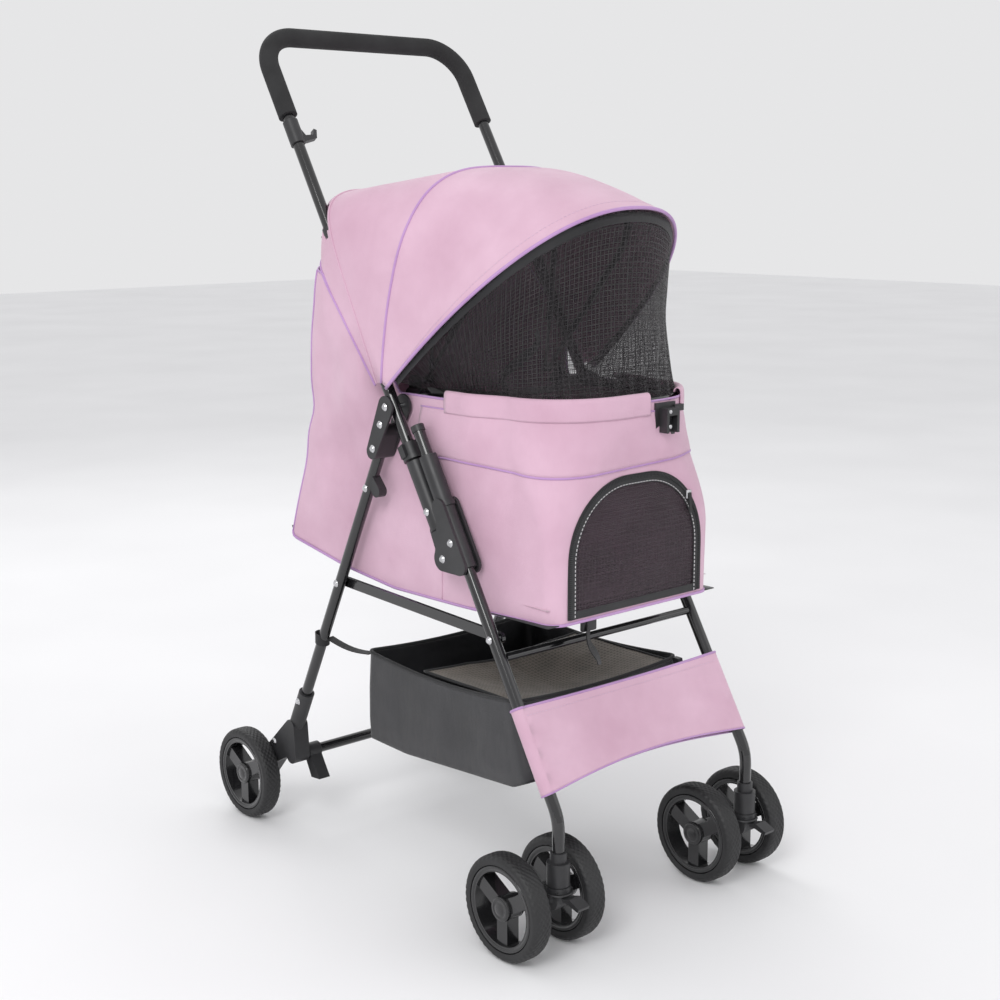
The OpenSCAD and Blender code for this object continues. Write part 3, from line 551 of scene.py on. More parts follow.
def bag_out(x, s, n, v):
    """How far the cloth stands out from the plain wall."""
    p = bag_base(x, s, v)
    belly = sin(pi * min(max(v, 0), 1))
    if abs(n[0]) > 0.5:
        span = smooth_step(0.0, 0.12, s) * smooth_step(0.0, 0.10, 1 - s)
        rear = smooth_step(0.42, 0.6, s)
        out = 2.0 * MM * belly * span
        out += 3.4 * MM * wrinkle(p, (4, 9, 5), 3.1) * belly * (0.35 + 0.65 * span)
        diagonal = sin((p.y * 0.8 + p.z * 1.1) * 52 + 4 * noise.noise(p * 7))
        out += 2.2 * MM * diagonal * belly * rear
        out = min(out, 4.0 * MM)
        # the cloth swells out behind the rear legs to meet the wider canopy
        behind = p.y - (LEG_TOP.y + (LEG_TOP.z - p.z) * 0.5)
        swell = smooth_step(0.35, 1.0, v) * smooth_step(12 * MM, 85 * MM, behind) * smooth_step(0.55, 0.72,
                s)
        return out + (CANOPY_HALF - BAG_W - 3 * MM) * swell
    if n[1] > 0.5:
        near = smooth_step(0.45, 1.0, v) * abs(n[0])
        return min((3.0 * belly + 3.0 * wrinkle(p, (7, 4, 6), 8.3)) * MM * belly, 5 * MM) + 30 * MM * near
    return min(1.6 * MM * wrinkle(p, (9, 4, 8), 1.7) * belly, 3.6 * MM)


def bag_point(index, v, extra=0.0):
    x, s, n = plan(v)[index % len(BAG_PATH)]
    p = bag_base(x, s, v)
    out = bag_out(x, s, n, v) + extra
    return p + Vector((n[0] * out, n[1] * out, 0))


def build_bag():
    count = len(BAG_PATH)
    rows = 80

    def point(v, j):
        return bag_point(int(round(j * count)), v)

    def keep(v, j):
        x, s, n = plan(v)[int(j * count)]
        if s > 0.01 or n[1] > 0:
            return True
        p = bag_base(x, s, v)
        return abs(p.x) > arch_half(p.z, -1 * MM)

    shell = grid_object("bag_cloth", point, rows, count, PINK, closed=True, keep=keep)
    thicken(shell, 1.6 * MM)
    place(shell, "frame", ["bag_shell"])

    bottom = grid_object("bag_bottom", lambda u, v: Vector((
        lerp(-BAG_W + 1 * MM, BAG_W - 1 * MM, v), polyline(LOW, u).y,
        polyline(LOW, u).z + 0.4 * MM - 1.0 * MM * sin(pi * v) * sin(pi * u))), 40, 24, NYLON)
    thicken(bottom, 1.4 * MM)
    place(bottom, "frame")
    return shell


def bag_trim():
    count = len(BAG_PATH)
    every = range(count)
    pieces = []
    low = [bag_point(i, 0.0, 1.2 * MM) for i in every]
    pieces.append(tube("piping_low", low, 1.9 * MM, PIPING, closed=True))
    high = [bag_point(i, 1.0, 0.4 * MM) + Vector((0, 0, 0.8 * MM)) for i in every]
    pieces.append(tube("piping_high", high, 1.5 * MM, PIPING, closed=True))
    back = FRONT_STEPS + CORNER_STEPS + SIDE_STEPS + 2
    for index in (back, count - back):
        edge = [bag_point(index, v / 30, 1.0 * MM) for v in range(31)]
        pieces.append(tube("piping_back", edge, 1.6 * MM, PIPING))
    # seam down each side below the lock
    seam_s = 0.385
    for sign in (1, -1):
        index = min(every, key=lambda i: abs(BAG_PATH[i][1] - seam_s) + (0 if BAG_PATH[i][0] * sign > 0 else 9))
        edge = [bag_point(index, v / 30, 0.9 * MM) for v in range(0, 20)]
        pieces.append(tube("piping_side", edge, 1.2 * MM, PINK))
    trim = join("bag_piping", pieces)
    place(trim, "frame")


BAND_V = 0.70


def border_band():
    """The padded border round the top of the bag, from one lock to the other across the front."""
    count = len(BAG_PATH)
    rim = plan(0.85)
    half_count = [i for i in range(count) if rim[i][2][1] <= 0.01 and rim[i][1] < 0.50]
    left = [i for i in half_count if rim[i][0] >= 0]
    right = [i for i in half_count if rim[i][0] < 0]
    order = sorted(right, key=lambda i: i) + sorted(left, key=lambda i: i)
    cols = len(order) - 1
    rows = 12

    def point(u, j):
        index = order[int(round(j * cols))]
        x, s, n = rim[index]
        v = lerp(BAND_V + 0.018 * sin(s * 9 + x * 14), 0.955, u)
        puff = (2.6 * sin(pi * min(u * 1.08, 1)) ** 0.7 + 0.7 * wrinkle(bag_base(x, s, v),
                (14, 16, 20), 5.5)) * MM
        return bag_point(index, v, max(puff, 0.3 * MM) + 0.9 * MM)

    band = grid_object("border_band", point, rows, cols, PINK)
    thicken(band, 1.2 * MM)
    place(band, "frame")
    lower = [point(0.0, j / cols) for j in range(cols + 1)]
    upper = [point(1.0, j / cols) for j in range(cols + 1)]
    edge = join("border_piping", [tube("a", lower, 1.5 * MM, PIPING), tube("b", upper, 1.1 * MM, PIPING)])
    place(edge, "frame")

    # the flap that folds over the rail, open at the tray mount
    gap_from, gap_to = lo("tray_mount").x - 6 * MM, hi("tray_mount").x + 2 * MM
    spans = []
    run = []
    for k, index in enumerate(order):
        x, s, n = rim[index]
        inside_gap = s < 0.05 and gap_from < x < gap_to
        if s > 0.40 or inside_gap:
            if len(run) > 2:
                spans.append(run)
            run = []
        else:
            run.append(index)
    if len(run) > 2:
        spans.append(run)
    rolls = []
    for run in spans:
        n_cols = len(run) - 1

        def roll(u, j, run=run, n_cols=n_cols):
            index = run[int(round(j * n_cols))]
            x, s, n = rim[index]
            drop = 21 * MM
            turn = pi * min(u * 2.2, 1)
            reach = 4.2 * MM
            if u < 1 / 2.2:
                out, up = -reach * cos(turn) , reach * 1.3 * sin(turn) + 5.5 * MM
            else:
                t = (u - 1 / 2.2) / (1 - 1 / 2.2)
                out, up = reach + 0.6 * MM * sin(pi * t), 5.5 * MM - drop * t
            out += 0.6 * MM * noise.noise(Vector((x * 40, s * 20, u * 3)))
            p = bag_point(index, 1.0, out - 1.5 * MM)
            return p + Vector((0, 0, up))

        rolls.append(thicken(grid_object("flap", roll, 16, n_cols, PINK), 1.3 * MM))
    flap = join("rail_flap", rolls)
    place(flap, "frame")


def padded_floor():
    """The floor cushion: a crowned pad with rounded corners, sewn across."""
    a, b = lo("floor_cushion"), hi("floor_cushion")
    inset = 2 * MM

    def surface(u, v, top):
        x = lerp(a.x + inset, b.x - inset, v)
        y = lerp(a.y + inset, b.y - inset, u)
        edge = min(smooth_step(0, 0.10, v), smooth_step(0, 0.10, 1 - v), smooth_step(0, 0.07, u),
                   smooth_step(0, 0.07, 1 - u))
        middle = a.z + 0.45 * (b.z - a.z)
        if not top:
            return Vector((x, y, lerp(middle, a.z + 0.3 * MM, edge)))
        channel = 1 - 0.55 * exp(-((abs((u * 3) % 1 - 0.5) - 0.5) / 0.05) ** 2)
        swell = (b.z - middle) * edge * channel + 0.5 * MM * noise.noise(Vector((x * 30, y * 30, 0)))
        return Vector((x, y, middle + swell))

    top = grid_object("pad_top", lambda u, v: surface(u, v, True), 60, 44, CUSHION)
    low = grid_object("pad_low", lambda u, v: surface(u, v, False), 60, 44, CUSHION)
    low.data.flip_normals()
    pad = join("cabin_cushion", [top, low])
    weld = pad.modifiers.new("weld", "WELD")
    weld.merge_threshold = 0.05 * MM
    apply_modifiers(pad)
    place(pad, "frame", ["floor_cushion"])


# Door

def arch_path(shrink, steps=20):
    """The door's outline from its lower left, over the top, to its lower right."""
    half = (DOOR_HI.x - DOOR_LO.x) / 2 - shrink
    radius = (DOOR_HI.x - DOOR_LO.x) / 2 * 0.85 - shrink
    top = DOOR_HI.z - shrink
    low = DOOR_LO.z + 1 * MM
    pts = [(half, lerp(low, top - radius, k / steps)) for k in range(steps)]
    pts += [(half - radius + radius * cos(a), top - radius + radius * sin(a))
            for a in (pi / 2 * k / steps for k in range(steps))]
    pts += [(lerp(half - radius, 0, k / 6), top) for k in range(6)]
    return pts + [(0, top)] + [(-x, z) for x, z in reversed(pts)]


def build_door():
    y = DOOR_LO.y - 0.6 * MM

    def net(u, v):
        z = lerp(DOOR_LO.z + 1 * MM, DOOR_HI.z - 3 * MM, u)
        half = max(arch_half(z) - 4 * MM, 0)
        x = lerp(-half, half, v)
        p = Vector((x, y, z))
        bow = 3.0 * MM * sin(pi * v) * sin(pi * min(u * 1.1, 1))
        crease = 1.6 * MM * wrinkle(p, (16, 4, 11), 2.2) * sin(pi * v) * smooth_step(0, 0.2,
                1 - u)
        return p + Vector((0, -bow - crease * 0.7, 0))

    mesh = grid_object("door_net_sheet", net, 46, 60, DOOR_NET, layout=(0.22, 0.155))
    thicken(mesh, 0.5 * MM)
    place(mesh, "door", ["door_panel"])

    def rail(shrink, dy=0.0):
        return [(x, y - 1.6 * MM + dy, z) for x, z in arch_path(shrink)]

    front = (0, -1, 0)
    tape = ribbon("zip_tape", rail(4.0 * MM), front, 13 * MM, 0.9 * MM, WEBBING)
    teeth = dashes("zip_teeth", rail(1.2 * MM, -0.5 * MM), front, 1.5 * MM, 1.0 * MM, 4.2 * MM, 1.3 * MM,
                   PLASTIC)
    stitch = dashes("zip_stitch", rail(8.8 * MM, -0.45 * MM), front, 3.0 * MM, 2.0 * MM, 0.9 * MM,
                    0.5 * MM, THREAD)
    hem_pts = [(lerp(DOOR_LO.x + 4 * MM, DOOR_HI.x - 4 * MM, k / 30), y - 1.4 * MM,
                DOOR_LO.z + 5 * MM) for k in range(31)]
    hem = ribbon("door_hem", hem_pts, front, 9 * MM, 1.0 * MM, WEBBING)
    trim = join("door_trim", [tape, teeth, stitch, hem])
    place(trim, "door")

    # zip slider and pull near the top left of the arch
    x, z = arch_path(1.2 * MM)[29]
    slider = rounded_box("zip_slider", (x, y - 3.4 * MM, z), (9 * MM, 3.4 * MM, 11 * MM), 1.2 * MM, STEEL)
    pull = ribbon("zip_pull", [(x, y - 5.6 * MM, z + 2 * MM), (x + 1 * MM, y - 6.4 * MM, z - 10 * MM),
                               (x + 1.5 * MM, y - 6.0 * MM, z - 24 * MM)], front, 5 * MM, 1.4 * MM, WEBBING)
    place(join("zip_pull_tab", [slider, pull]), "door")


def rounded_box(name, centre, size, radius, material, segments=3):
    c, s = Vector(centre), Vector(size) / 2
    verts = [c + Vector((sx * s.x, sy * s.y, sz * s.z)) for sx in (-1, 1) for sy in (-1, 1) for sz in (-1,
            1)]
    faces = [(0, 1, 3, 2), (4, 6, 7, 5), (0, 4, 5, 1), (2, 3, 7, 6), (0, 2, 6, 4), (1, 5, 7, 3)]
    obj = make_object(name, verts, faces, material)
    bevel = obj.modifiers.new("bevel", "BEVEL")
    bevel.width = radius
    bevel.segments = segments
    return apply_modifiers(obj)


# Canopy

FRONT_ANGLE, BACK_ANGLE, CROWN_ANGLE = 139.0, 50.0, 103.0
RISE = (hi("canopy").z - HINGE.z) / 1.062
BACK_RISE = 224 * MM
HEM_RISE = 16 * MM


def arch_rise(a):
    spread = 122.0 if a < CROWN_ANGLE else 82.0
    top = RISE * (1.06 - ((a - CROWN_ANGLE) / spread) ** 2) / sin(radians(a))
    return min(top, BACK_RISE + (a - BACK_ANGLE) * 6 * MM)


def canopy_at(a, q, inset=0.0):
    """A point of the canopy: a is the arch's angle, q runs from one side (0) to the other (180)."""
    power = 2.3 + 9 * ((FRONT_ANGLE - a) / (FRONT_ANGLE - BACK_ANGLE)) ** 3
    c, s = cos(radians(q)), max(sin(radians(q)), 0)
    half = CANOPY_HALF - inset
    rise = arch_rise(a) - inset
    x = -half * copysign(abs(c) ** (2 / power), c)
    h = max(HEM_RISE, rise * s ** (2 / power))
    return Vector((x, HINGE.y + h * cos(radians(a)), HINGE.z + h * sin(radians(a))))


def canopy_cloth_at(t, w, inset=0.0):
    """t runs from the front hem (0) to the rear (1), w across from right to left."""
    a = lerp(FRONT_ANGLE, BACK_ANGLE, t)
    # even steps over the arch, finer at its feet
    q = 180 * (w + 0.045 * sin(2 * pi * w) * -1)
    p = canopy_at(a, q, inset)
    centre = Vector((0, HINGE.y, HINGE.z))
    out = (p - centre).normalized()
    sag = 0.0
    for start, end in ((0.0, 0.47), (0.47, 0.86)):
        if start < t < end:
            sag = 4.0 * MM * sin(pi * (t - start) / (end - start))
    crown = sin(pi * w)
    fold = 1.8 * MM * wrinkle(p, (8, 8, 6), 6.6) * smooth_step(0, 0.08, t)
    fold += 1.3 * MM * sin(p.x * 60 + p.y * 38 + 3 * noise.noise(p * 9)) * smooth_step(0.5, 0.8,
            t) * crown
    return p - out * (sag * crown + max(fold, -1.2 * MM) * 0.8)


HANDLE_LEAN = tan(radians(31.2))


def clear_of_tubes(t, w):
    """Leaves out the cloth where the handle tubes come out of the canopy."""
    p = canopy_cloth_at(t, w, 0.8 * MM)
    tube_y = LEG_TOP.y + (p.z - LEG_TOP.z) * HANDLE_LEAN
    return (abs(p.x) - SIDE_X) ** 2 + ((p.y - tube_y) * 0.855) ** 2 > (9.5 * MM) ** 2


def build_canopy():
    cloth = grid_object("canopy_cloth", lambda t, w: canopy_cloth_at(t, w, 0.8 * MM), 100, 170, PINK,
                        keep=clear_of_tubes)
    cloth.data.flip_normals()
    thicken(cloth, 1.4 * MM)
    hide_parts("canopy")
    trims = []
    for t, r, look in ((0.0, 2.2 * MM, PIPING), (0.47, 1.7 * MM, PIPING), (0.86, 1.2 * MM, PINK),
                       (1.0, 1.6 * MM, PIPING)):
        line = [canopy_cloth_at(t, k / 90, -0.2 * MM) for k in range(91)]
        trims.append(tube("line", line, r, look))
    hem = [canopy_cloth_at(0.035, k / 240, -0.2 * MM) for k in range(241)]
    outs = [(p - Vector((0, HINGE.y, HINGE.z))).normalized() for p in hem]
    trims.append(dashes("hem_stitch", hem, outs, 3.2 * MM, 2.2 * MM, 0.8 * MM, 0.35 * MM, PINK_THREAD))
    trim = join("canopy_trim", trims)
    start, end = (0, HINGE.y - 10 * MM, HINGE.z + 0.15), (0, lo("canopy").y + 20 * MM, HINGE.z + 0.15)
    for piece in (cloth, trim):
        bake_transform(piece)
        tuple(start)
        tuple(end)


def window_net():
    """The gathered net between the canopy's front hem and the rail."""
    y_front = lo("top_rail").y + 5 * MM
    half = hi("top_rail").x - 6 * MM

    corner = 80 * MM
    y_back = HINGE.y - 30 * MM
    run = (y_back - y_front - corner, corner * pi / 2, 2 * (half - corner))
    total = 2 * run[0] + 2 * run[1] + run[2]

    def foot(w):
        """Along the rail: up one side, round the corner, across the front, and back down the other side."""
        d = w * total
        sign = -1
        if d > total / 2:
            d, sign = total - d, 1
        if d < run[0]:
            return Vector((sign * half, y_back - d, RIM_Z))
        d -= run[0]
        if d < run[1]:
            a = d / corner
            return Vector((sign * (half - corner + corner * cos(a)),
                           y_front + corner - corner * sin(a), RIM_Z))
        return Vector((sign * (half - corner - (d - run[1])), y_front, RIM_Z))

    def point(u, w):
        top = canopy_at(FRONT_ANGLE, 180 * lerp(0.02, 0.98, w), 4 * MM)
        low = foot(w)
        p = low.lerp(top, u)
        gather = (1 - u) ** 2 * 2.4 * MM * sin(w * 150 + 3 * noise.noise(Vector((w * 9, u * 4, 0))))
        slack = 5 * MM * sin(pi * u) * noise.noise(Vector((w * 7, u * 3, 4)))
        inward = Vector((-p.x, 0.05 - p.y, 0)).normalized()
        return p + inward * (gather + slack + 9 * MM * sin(pi * u))

    net = grid_object("window_net_sheet", point, 44, 150, WINDOW_NET, layout=(0.66, 0.24))
    thicken(net, 0.4 * MM)
    canopy_at(139, 90).z - 5 * MM
    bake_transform(net)

    band = [point(0.965, w / 120) for w in range(121)]
    edge = ribbon("window_edge", band, [Vector((p.x, p.y, 0)).normalized() for p in band], 12 * MM,
                  0.8 * MM, WEBBING)
    canopy_at(139, 90).z - 5 * MM
    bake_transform(edge)


def bow_sleeves():
    """The dark cloth sleeve that each wire bow runs in."""
    for node, body in (("canopy_front_bow", "front_bow"), ("canopy_middle_bow", "middle_bow")):
        b = hi(node)
        lean = radians(40 if body == "front_bow" else 6)
        rise = (b.z - HINGE.z - 16 * MM) / cos(lean)
        half = b.x - 2.5 * MM
        bend = 100 * MM if body == "front_bow" else 60 * MM
        pts = []
        for k in range(12):
            pts.append((-half, lerp(0.35, 1.0, k / 12) * (rise - bend)))
        for k in range(13):
            t = pi / 2 * k / 12
            pts.append((-half + bend - bend * cos(t), rise - bend + bend * sin(t)))
        pts += [(-x, h) for x, h in reversed(pts[:-1])] if half - bend < 1 * MM else [(-x, h) for x,
                h in reversed(pts)]
        pivot_y, pivot_z = HINGE.y, HINGE.z + 14 * MM
        line = [(x, pivot_y - h * sin(lean), pivot_z + h * cos(lean)) for x, h in pts]
        sleeve = tube(node + "_sleeve", line, 4.2 * MM, WEBBING, sides=10)
        place(sleeve, body)


# Front band, basket, straps

LEAN = radians(30.4)
BAND_LO, BAND_HI = lo("front_band"), hi("front_band")


def front_band():
    """The cloth sleeve stretched round the two front legs."""
    length = (BAND_HI.z - BAND_LO.z - 22 * MM * sin(LEAN)) / cos(LEAN)
    half = BAND_HI.x - 1 * MM
    centre_y = (BAND_LO.y + BAND_HI.y) / 2
    base = Vector((0, centre_y - length / 2 * sin(LEAN), BAND_LO.z + 11 * MM * sin(LEAN)))
    along = Vector((0, sin(LEAN), cos(LEAN)))
    out = Vector((0, -cos(LEAN), sin(LEAN)))
    cols = 150

    def point(u, j):
        # once round the sleeve: front face, left leg, rear face, right leg
        t = (j % 1.0) * 4
        if t < 1:
            x, o, face = lerp(-half + 8 * MM, half - 8 * MM, t), 9.5 * MM, 1
        elif t < 2:
            a = pi * (t - 1)
            x, o, face = half - 8 * MM + 8 * MM * sin(a), 9.5 * MM * cos(a), 0
        elif t < 3:
            x, o, face = lerp(half - 8 * MM, -half + 8 * MM, t - 2), -9.5 * MM, -1
        else:
            a = pi * (t - 3)
            x, o, face = -half + 8 * MM - 8 * MM * sin(a), -9.5 * MM * cos(a), 0
        middle = 1 - (x / half) ** 2
        low_cut = 13 * MM * middle ** 1.2
        height = lerp(low_cut, length - 2.5 * MM * middle, u)
        flat = 1 - smooth_step(0.9, 1.0, abs(x) / half)
        hollow = 3.6 * MM * middle * sin(pi * u)
        p0 = Vector((x, 0, height))
        crease = 2.0 * MM * wrinkle(p0, (7, 1, 22),
                                    9.4) * flat * sin(pi * min(max(u, 0.03), 0.97))
        pull = 1.2 * MM * sin(height * 210 + x * 30) * smooth_step(0.55, 0.95, abs(x) / half)
        offset = o - face * hollow + (crease + pull) * face
        return base + along * height + out * offset + Vector((x, 0, 0))

    cloth = grid_object("front_band_cloth", point, 34, cols, PINK, closed=True)
    thicken(cloth, 1.2 * MM)
    place(cloth, "frame", ["front_band"])
    # once round both legs, less the lower edge's sag
    top = [point(1.0, j / cols) + along * 0.5 * MM for j in range(cols)]
    low = [point(0.0, j / cols) - along * 0.3 * MM for j in range(cols)]
    hem = [point(0.90, k / 900) + out * 0.8 * MM for k in range(0, 225)]
    trims = [tube("t", top, 1.7 * MM, PIPING, closed=True), tube("l", low, 1.2 * MM, PIPING, closed=True),
             dashes("s", hem, tuple(out), 3.0 * MM, 2.0 * MM, 0.8 * MM, 0.35 * MM, PINK_THREAD)]
    place(join("front_band_trim", trims), "frame")


BASKET_LO, BASKET_HI = lo("basket"), hi("basket")


def basket():
    a, b = BASKET_LO, BASKET_HI
    half = b.x - 1.5 * MM
    front_top = a.y + 38 * MM
    low_line = [(0.0, (0, a.y + 8 * MM, a.z + 30 * MM)), (0.12, (0, front_top, a.z + 16 * MM)),
                (0.65, (0, -7 * MM, a.z + 1 * MM)), (0.97, (0, b.y - 6 * MM, a.z + 3 * MM)),
                (1.0, (0, b.y - 2 * MM, a.z + 8 * MM))]
    high_line = [(0.0, (0, front_top, b.z)), (1.0, (0, b.y, b.z))]
    corner = 14 * MM
    length = b.y - a.y
    rs = corner / length
    path = []
    flat = half - corner
    path += [(flat * k / 12, 0.0, (0, -1)) for k in range(13)]
    path += [(flat + corner * sin(t), rs * (1 - cos(t)), (sin(t), -cos(t)))
             for t in (pi / 10 * k for k in range(1, 5))]
    path += [(half, rs + (1 - 2 * rs) * k / 44, (1, 0)) for k in range(45)]
    path += [(flat + corner * cos(t), 1 - rs * (1 - sin(t)), (cos(t), sin(t)))
             for t in (pi / 10 * k for k in range(1, 5))]
    path += [(flat * (1 - k / 12), 1.0, (0, 1)) for k in range(13)]
    path += [(-x, s, (-n[0], n[1])) for x, s, n in reversed(path[1:-1])]
    count = len(path)

    def wall(v, j):
        x, s, n = path[int(round(j * count)) % count]
        dip = 9 * MM * sin(pi * s) if abs(n[0]) > 0.5 else 7 * MM * (1 - (x / half) ** 2)
        top = polyline(high_line, s) - Vector((0, 0, dip))
        p = polyline(low_line, s).lerp(top, v)
        p.x = x
        belly = sin(pi * min(v + 0.02, 1))
        fold = 3.4 * MM * wrinkle(p, (5, 6, 9), 4.2) + 2.2 * MM * wrinkle(p, (13, 13, 6), 1.2)
        push = (2.0 * MM + fold) * belly - 3 * MM * belly * sin(pi * s) * 0.5
        push = min(push, 2.4 * MM)
        return p + Vector((n[0] * push, n[1] * push, 0))

    side = grid_object("basket_side", wall, 26, count, NYLON, closed=True)

    def floor(u, v):
        p = polyline(low_line, u)
        x = lerp(-half + 1 * MM, half - 1 * MM, v)
        bowl = sin(pi * u) * sin(pi * v)
        return Vector((x, p.y, p.z + 0.6 * MM + 1.6 * MM * bowl * wrinkle(Vector((x, p.y, 0)), (9, 9, 1),
                7.7)))

    low = grid_object("basket_floor", floor, 40, 30, NYLON)
    thicken(side, 1.3 * MM)
    thicken(low, 1.3 * MM)
    cloth = join("basket_cloth", [side, low])
    place(cloth, "frame", ["basket"])
    # walls of 0.136 m2 and a floor of 0.097
    rim = [wall(1.0, j / count) for j in range(count)]
    place(tube("basket_rim", rim, 2.4 * MM, WEBBING, closed=True), "frame")

    # beige net along the far side and front, as a second layer inside the rim
    def net(u, v):
        p = Vector((lerp(-half + 10 * MM, half - 10 * MM, v), lerp(front_top + 8 * MM, b.y - 110 * MM, u),
                    0))
        droop = 16 * MM * sin(pi * u) * sin(pi * v)
        p.z = b.z - 6 * MM - droop - 10 * MM * (1 - abs(2 * v - 1)) + 1.5 * MM * wrinkle(p, (9, 9, 1), 2.0)
        return p

    top_net = thicken(grid_object("basket_net_sheet", net, 40, 40, BASKET_NET, layout=(0.273, 0.176)),
                      0.5 * MM)
    place(top_net, "frame")
    bound = [net(0.0, k / 30) for k in range(31)] + [net(k / 30, 1.0) for k in range(1, 31)]
    bound += [net(1.0, 1 - k / 30) for k in range(1, 31)] + [net(1 - k / 30, 0.0) for k in range(1, 30)]
    place(tube("basket_net_binding", bound, 2.0 * MM, WEBBING, closed=True), "frame")
    return wall


def rear_leg_at(z):
    a, b = lo("rear_leg_right"), hi("rear_leg_right")
    t = (z - a.z) / (b.z - a.z)
    return lerp(b.y, a.y, t)


def straps():
    """Webbing loops from the basket to the legs, the strap under the bag and the lead inside."""
    b = BASKET_HI
    for sign in (-1, 1):
        z = b.z + 6 * MM
        leg = Vector((sign * SIDE_X, rear_leg_at(z), z))
        start = Vector((sign * (b.x - 6 * MM), b.y - 4 * MM, b.z - 4 * MM))
        line = [start.lerp(leg + Vector((-sign * 9 * MM, -4 * MM, 0)),
                           k / 8) - Vector((0, 0, 5 * MM * sin(pi * k / 8)))
                for k in range(9)]
        strap = ribbon("basket_strap", line, (0, 0, 1), 14 * MM, 1.2 * MM, WEBBING)
        loop = [leg + Vector((9.2 * MM * cos(t), 9.2 * MM * sin(t), 2.5 * MM * sin(t)))
                for t in (2 * pi * k / 24 for k in range(25))]
        ring = ribbon("basket_loop", loop,
                      [(cos(2 * pi * k / 24), sin(2 * pi * k / 24),
                        0) for k in range(25)],
                      14 * MM, 1.2 * MM, WEBBING)
        side = "right" if sign < 0 else "left"
        piece = join("basket_strap_" + side, [strap, ring])
        place(piece, "frame")

    # strap under the bag with its slide buckle
    p0 = Vector((-0.05, BAG_FRONT + 40 * MM, BAG_LO.z + 4 * MM))
    line = [p0 + Vector((4 * MM * sin(k * 0.7), -k * 2.2 * MM, -k * 5.4 * MM)) for k in range(13)]
    strap = ribbon("under_strap_web", line, (0.6, -1, 0), 16 * MM, 1.4 * MM, WEBBING)
    buckle = rounded_box("buckle", line[3], (24 * MM, 7 * MM, 20 * MM), 2.5 * MM, PLASTIC)
    place(join("under_strap", [strap, buckle]), "frame")

    # safety lead clipped inside the cabin
    hook = Vector((0.02, BAG_FRONT + 0.20, RIM_Z + 12 * MM))
    lead = [hook + Vector((sin(k * 0.55) * 14 * MM - k * 2 * MM, k * 3 * MM,
                           -k * 6.5 * MM + 60 * MM)) for k in range(16)]
    web = ribbon("lead_web", lead, (0.3, -1, 0.2), 13 * MM, 1.4 * MM, WEBBING)
    clip = rounded_box("lead_clip", lead[-1], (15 * MM, 8 * MM, 24 * MM), 3 * MM, PLASTIC)
    cross = ribbon("lead_cross", [(-0.142, HINGE.y - 0.05, RIM_Z + 8 * MM),
                                  (-0.05, HINGE.y - 0.07, RIM_Z - 4 * MM),
                                  (0.05, HINGE.y - 0.07, RIM_Z - 4 * MM), (0.142, HINGE.y - 0.05,
                                          RIM_Z + 8 * MM)],
                   (0, -0.4, 1), 15 * MM, 1.4 * MM, WEBBING)
    place(join("safety_lead", [web, clip, cross]), "frame")


# Wheels

WHEELS = ["front_right_outer", "front_right_inner", "front_left_inner", "front_left_outer", "rear_right",
          "rear_left"]


def wheels():
    for name in WHEELS:
        node = "tyre_" + name
        a, b = lo(node), hi(node)
        centre = (a + b) / 2
        radius = (b.z - a.z) / 2
        half = (b.x - a.x) / 2
        inner = radius - 12 * MM
        profile = []
        steps = 28
        for k in range(steps + 1):
            t = -1 + 2 * k / steps
            drop = (abs(t) ** 5) * 4.5 * MM
            profile.append((radius - 0.9 * MM - drop, t * half * 0.985))
        profile = [(inner, -half + 1 * MM), (inner + 4 * MM, -half + 0.4 * MM)] + profile
        profile += [(inner + 4 * MM, half - 0.4 * MM), (inner, half - 1 * MM), (inner, 0),
                    (inner, -half + 1 * MM)]
        lugs = 46

        def tread(t, j, along, half=half):
            if abs(along) > half * 0.93 or j < 2 or j > steps + 2:
                return 0.0
            u, v = t * lugs / (2 * pi), along / (6.2 * MM)
            d = abs(((u + v) % 1) - 0.5) + abs(((u - v) % 1) - 0.5)
            return 0.9 * MM * smooth_step(0.25, 0.55, d) - 0.3 * MM
        tyre = lathe(node + "_tread", profile, centre, 1, RUBBER, turns=lugs * 6, bump=tread)
        place(tyre, "roller_" + name, [node])

        # domed cap and stepped ring on each face of the rim
        for side in (-1, 1):
            face = 12.5 * MM
            cap = [(15.2 * MM, face - 5 * MM), (15.2 * MM, face - 0.5 * MM), (13.5 * MM, face + 0.6 * MM),
                   (10 * MM, face + 1.2 * MM),
                   (9.4 * MM, face + 0.5 * MM), (7 * MM, face + 1.5 * MM), (4 * MM,
                           face + 2.1 * MM), (0.01 * MM, face + 2.3 * MM)]
            ring = [(51.5 * MM, 11.9 * MM), (52.8 * MM, 12.7 * MM), (50 * MM, 13.1 * MM),
                    (47.5 * MM, 12.6 * MM), (46.6 * MM, 11.9 * MM)]
            parts = [lathe("cap", cap, centre, side, RIM, 48), lathe("ring", ring, centre, side, RIM, 72)]
            place(join("hub_%s_%s" % (name, "a" if side < 0 else "b"), parts), "roller_" + name)


# Small hardware

def small_parts():
    # rivets on the tray mount
    a = lo("tray_mount")
    dots = []
    for dx, dz in ((0.012, 0.030), (0.012, 0.012)):
        dots.append(dome("dot", (a.x + dx, a.y + 0.2 * MM, a.z + dz), (0, -1, 0), 2.6 * MM, STEEL))
    place(join("tray_rivets", dots), "frame")
    # rounded cover over the casters' swivel, each with a lighter ridge
    for side, sign in (("right", -1), ("left", 1)):
        x = sign * SIDE_X
        y = lo("caster_fork_" + side).y + 15 * MM
        top = lo("caster_cups").z
        hood = []
        for k in range(13):
            t = pi * k / 12
            hood.append((x + 16.4 * MM * cos(t + pi), y - 16.4 * MM * sin(t), top - 9 * MM))
        ridge = tube("fork_ridge", hood, 1.6 * MM, PLASTIC)
        place(ridge, "caster_" + side)


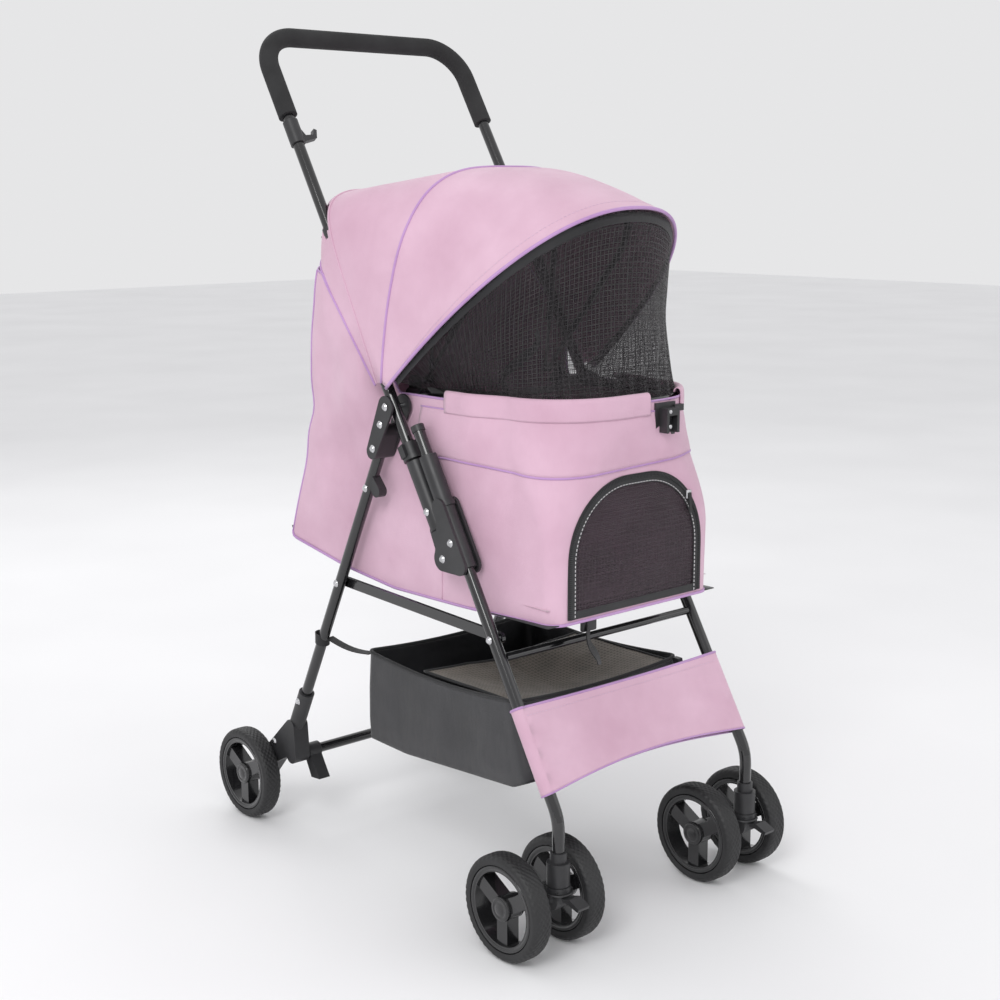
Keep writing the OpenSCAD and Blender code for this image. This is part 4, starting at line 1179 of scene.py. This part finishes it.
def dome(name, at, axis, radius, material):
    axis = Vector(axis).normalized()
    u = axis.orthogonal().normalized()
    v = axis.cross(u)
    verts, faces = [], []
    rings, seg = 5, 20
    for i in range(rings + 1):
        t = pi / 2 * i / rings
        for j in range(seg):
            a = 2 * pi * j / seg
            verts.append(Vector(at) + (u * cos(a) + v * sin(a)) * radius * cos(t) + axis * radius * 0.55 * sin(t))
    for i in range(rings):
        for j in range(seg):
            m = (j + 1) % seg
            faces.append((i * seg + j, i * seg + m, (i + 1) * seg + m, (i + 1) * seg + j))
    faces.append(tuple(range(seg))[::-1])
    return make_object(name, verts, faces, material)


# Stage

def stage():
    n = Nodes("floor_paint")
    tone = n.ramp(n.noise(1.5, 2.0), [(0.3, (0.86, 0.86, 0.87)), (0.7, (0.90, 0.90, 0.91))])
    floor_look = n.finish(tone, 0.75, n.bump(n.noise(40.0), 0.0002, 0.2), Specular_IOR_Level=0.2)
    size = 12.0
    floor = make_object("floor", [(-size, -size, 0), (size, -size, 0), (size, size, 0), (-size, size, 0)],
                        [(0, 1, 2, 3)], floor_look)

    world = bpy.data.worlds.new("studio")
    bpy.context.scene.world = world
    world.use_nodes = True
    back = world.node_tree.nodes["Background"]
    back.inputs[0].default_value = (0.99, 0.99, 1.0, 1)
    back.inputs[1].default_value = 0.80
    bpy.context.scene.view_settings.view_transform = "Standard"

    def lamp(name, at, target, size_m, watts):
        data = bpy.data.lights.new(name, "AREA")
        data.size = size_m
        data.energy = watts
        obj = bpy.data.objects.new(name, data)
        obj.location = at
        obj.rotation_euler = (Vector(target) - Vector(at)).to_track_quat("-Z", "Y").to_euler()
        bpy.context.scene.collection.objects.link(obj)

    lamp("key", (-2.4, -1.6, 2.6), (0, 0, 0.6), 1.4, 46)
    lamp("fill", (1.8, -2.6, 1.6), (0, 0, 0.5), 2.2, 8)
    lamp("rim", (0.6, 2.4, 2.4), (0, 0, 0.7), 1.6, 18)

    camera = bpy.data.cameras.new("camera")
    camera.sensor_width = 36
    camera.lens = 57.0
    obj = bpy.data.objects.new("camera", camera)
    obj.location = (-1.3594, -1.5760, 0.8895)
    aim = Matrix.Rotation(radians(-41.33), 4, "Z") @ Matrix.Rotation(radians(90 - 11.06), 4, "X")
    obj.rotation_euler = (aim @ Matrix.Rotation(radians(-0.21), 4, "Z")).to_euler()
    bpy.context.scene.collection.objects.link(obj)
    bpy.context.scene.camera = obj


stage()
build_bag()
bag_trim()
border_band()
padded_floor()
build_door()
build_canopy()
window_net()
bow_sleeves()
front_band()
basket()
straps()
wheels()
small_parts()
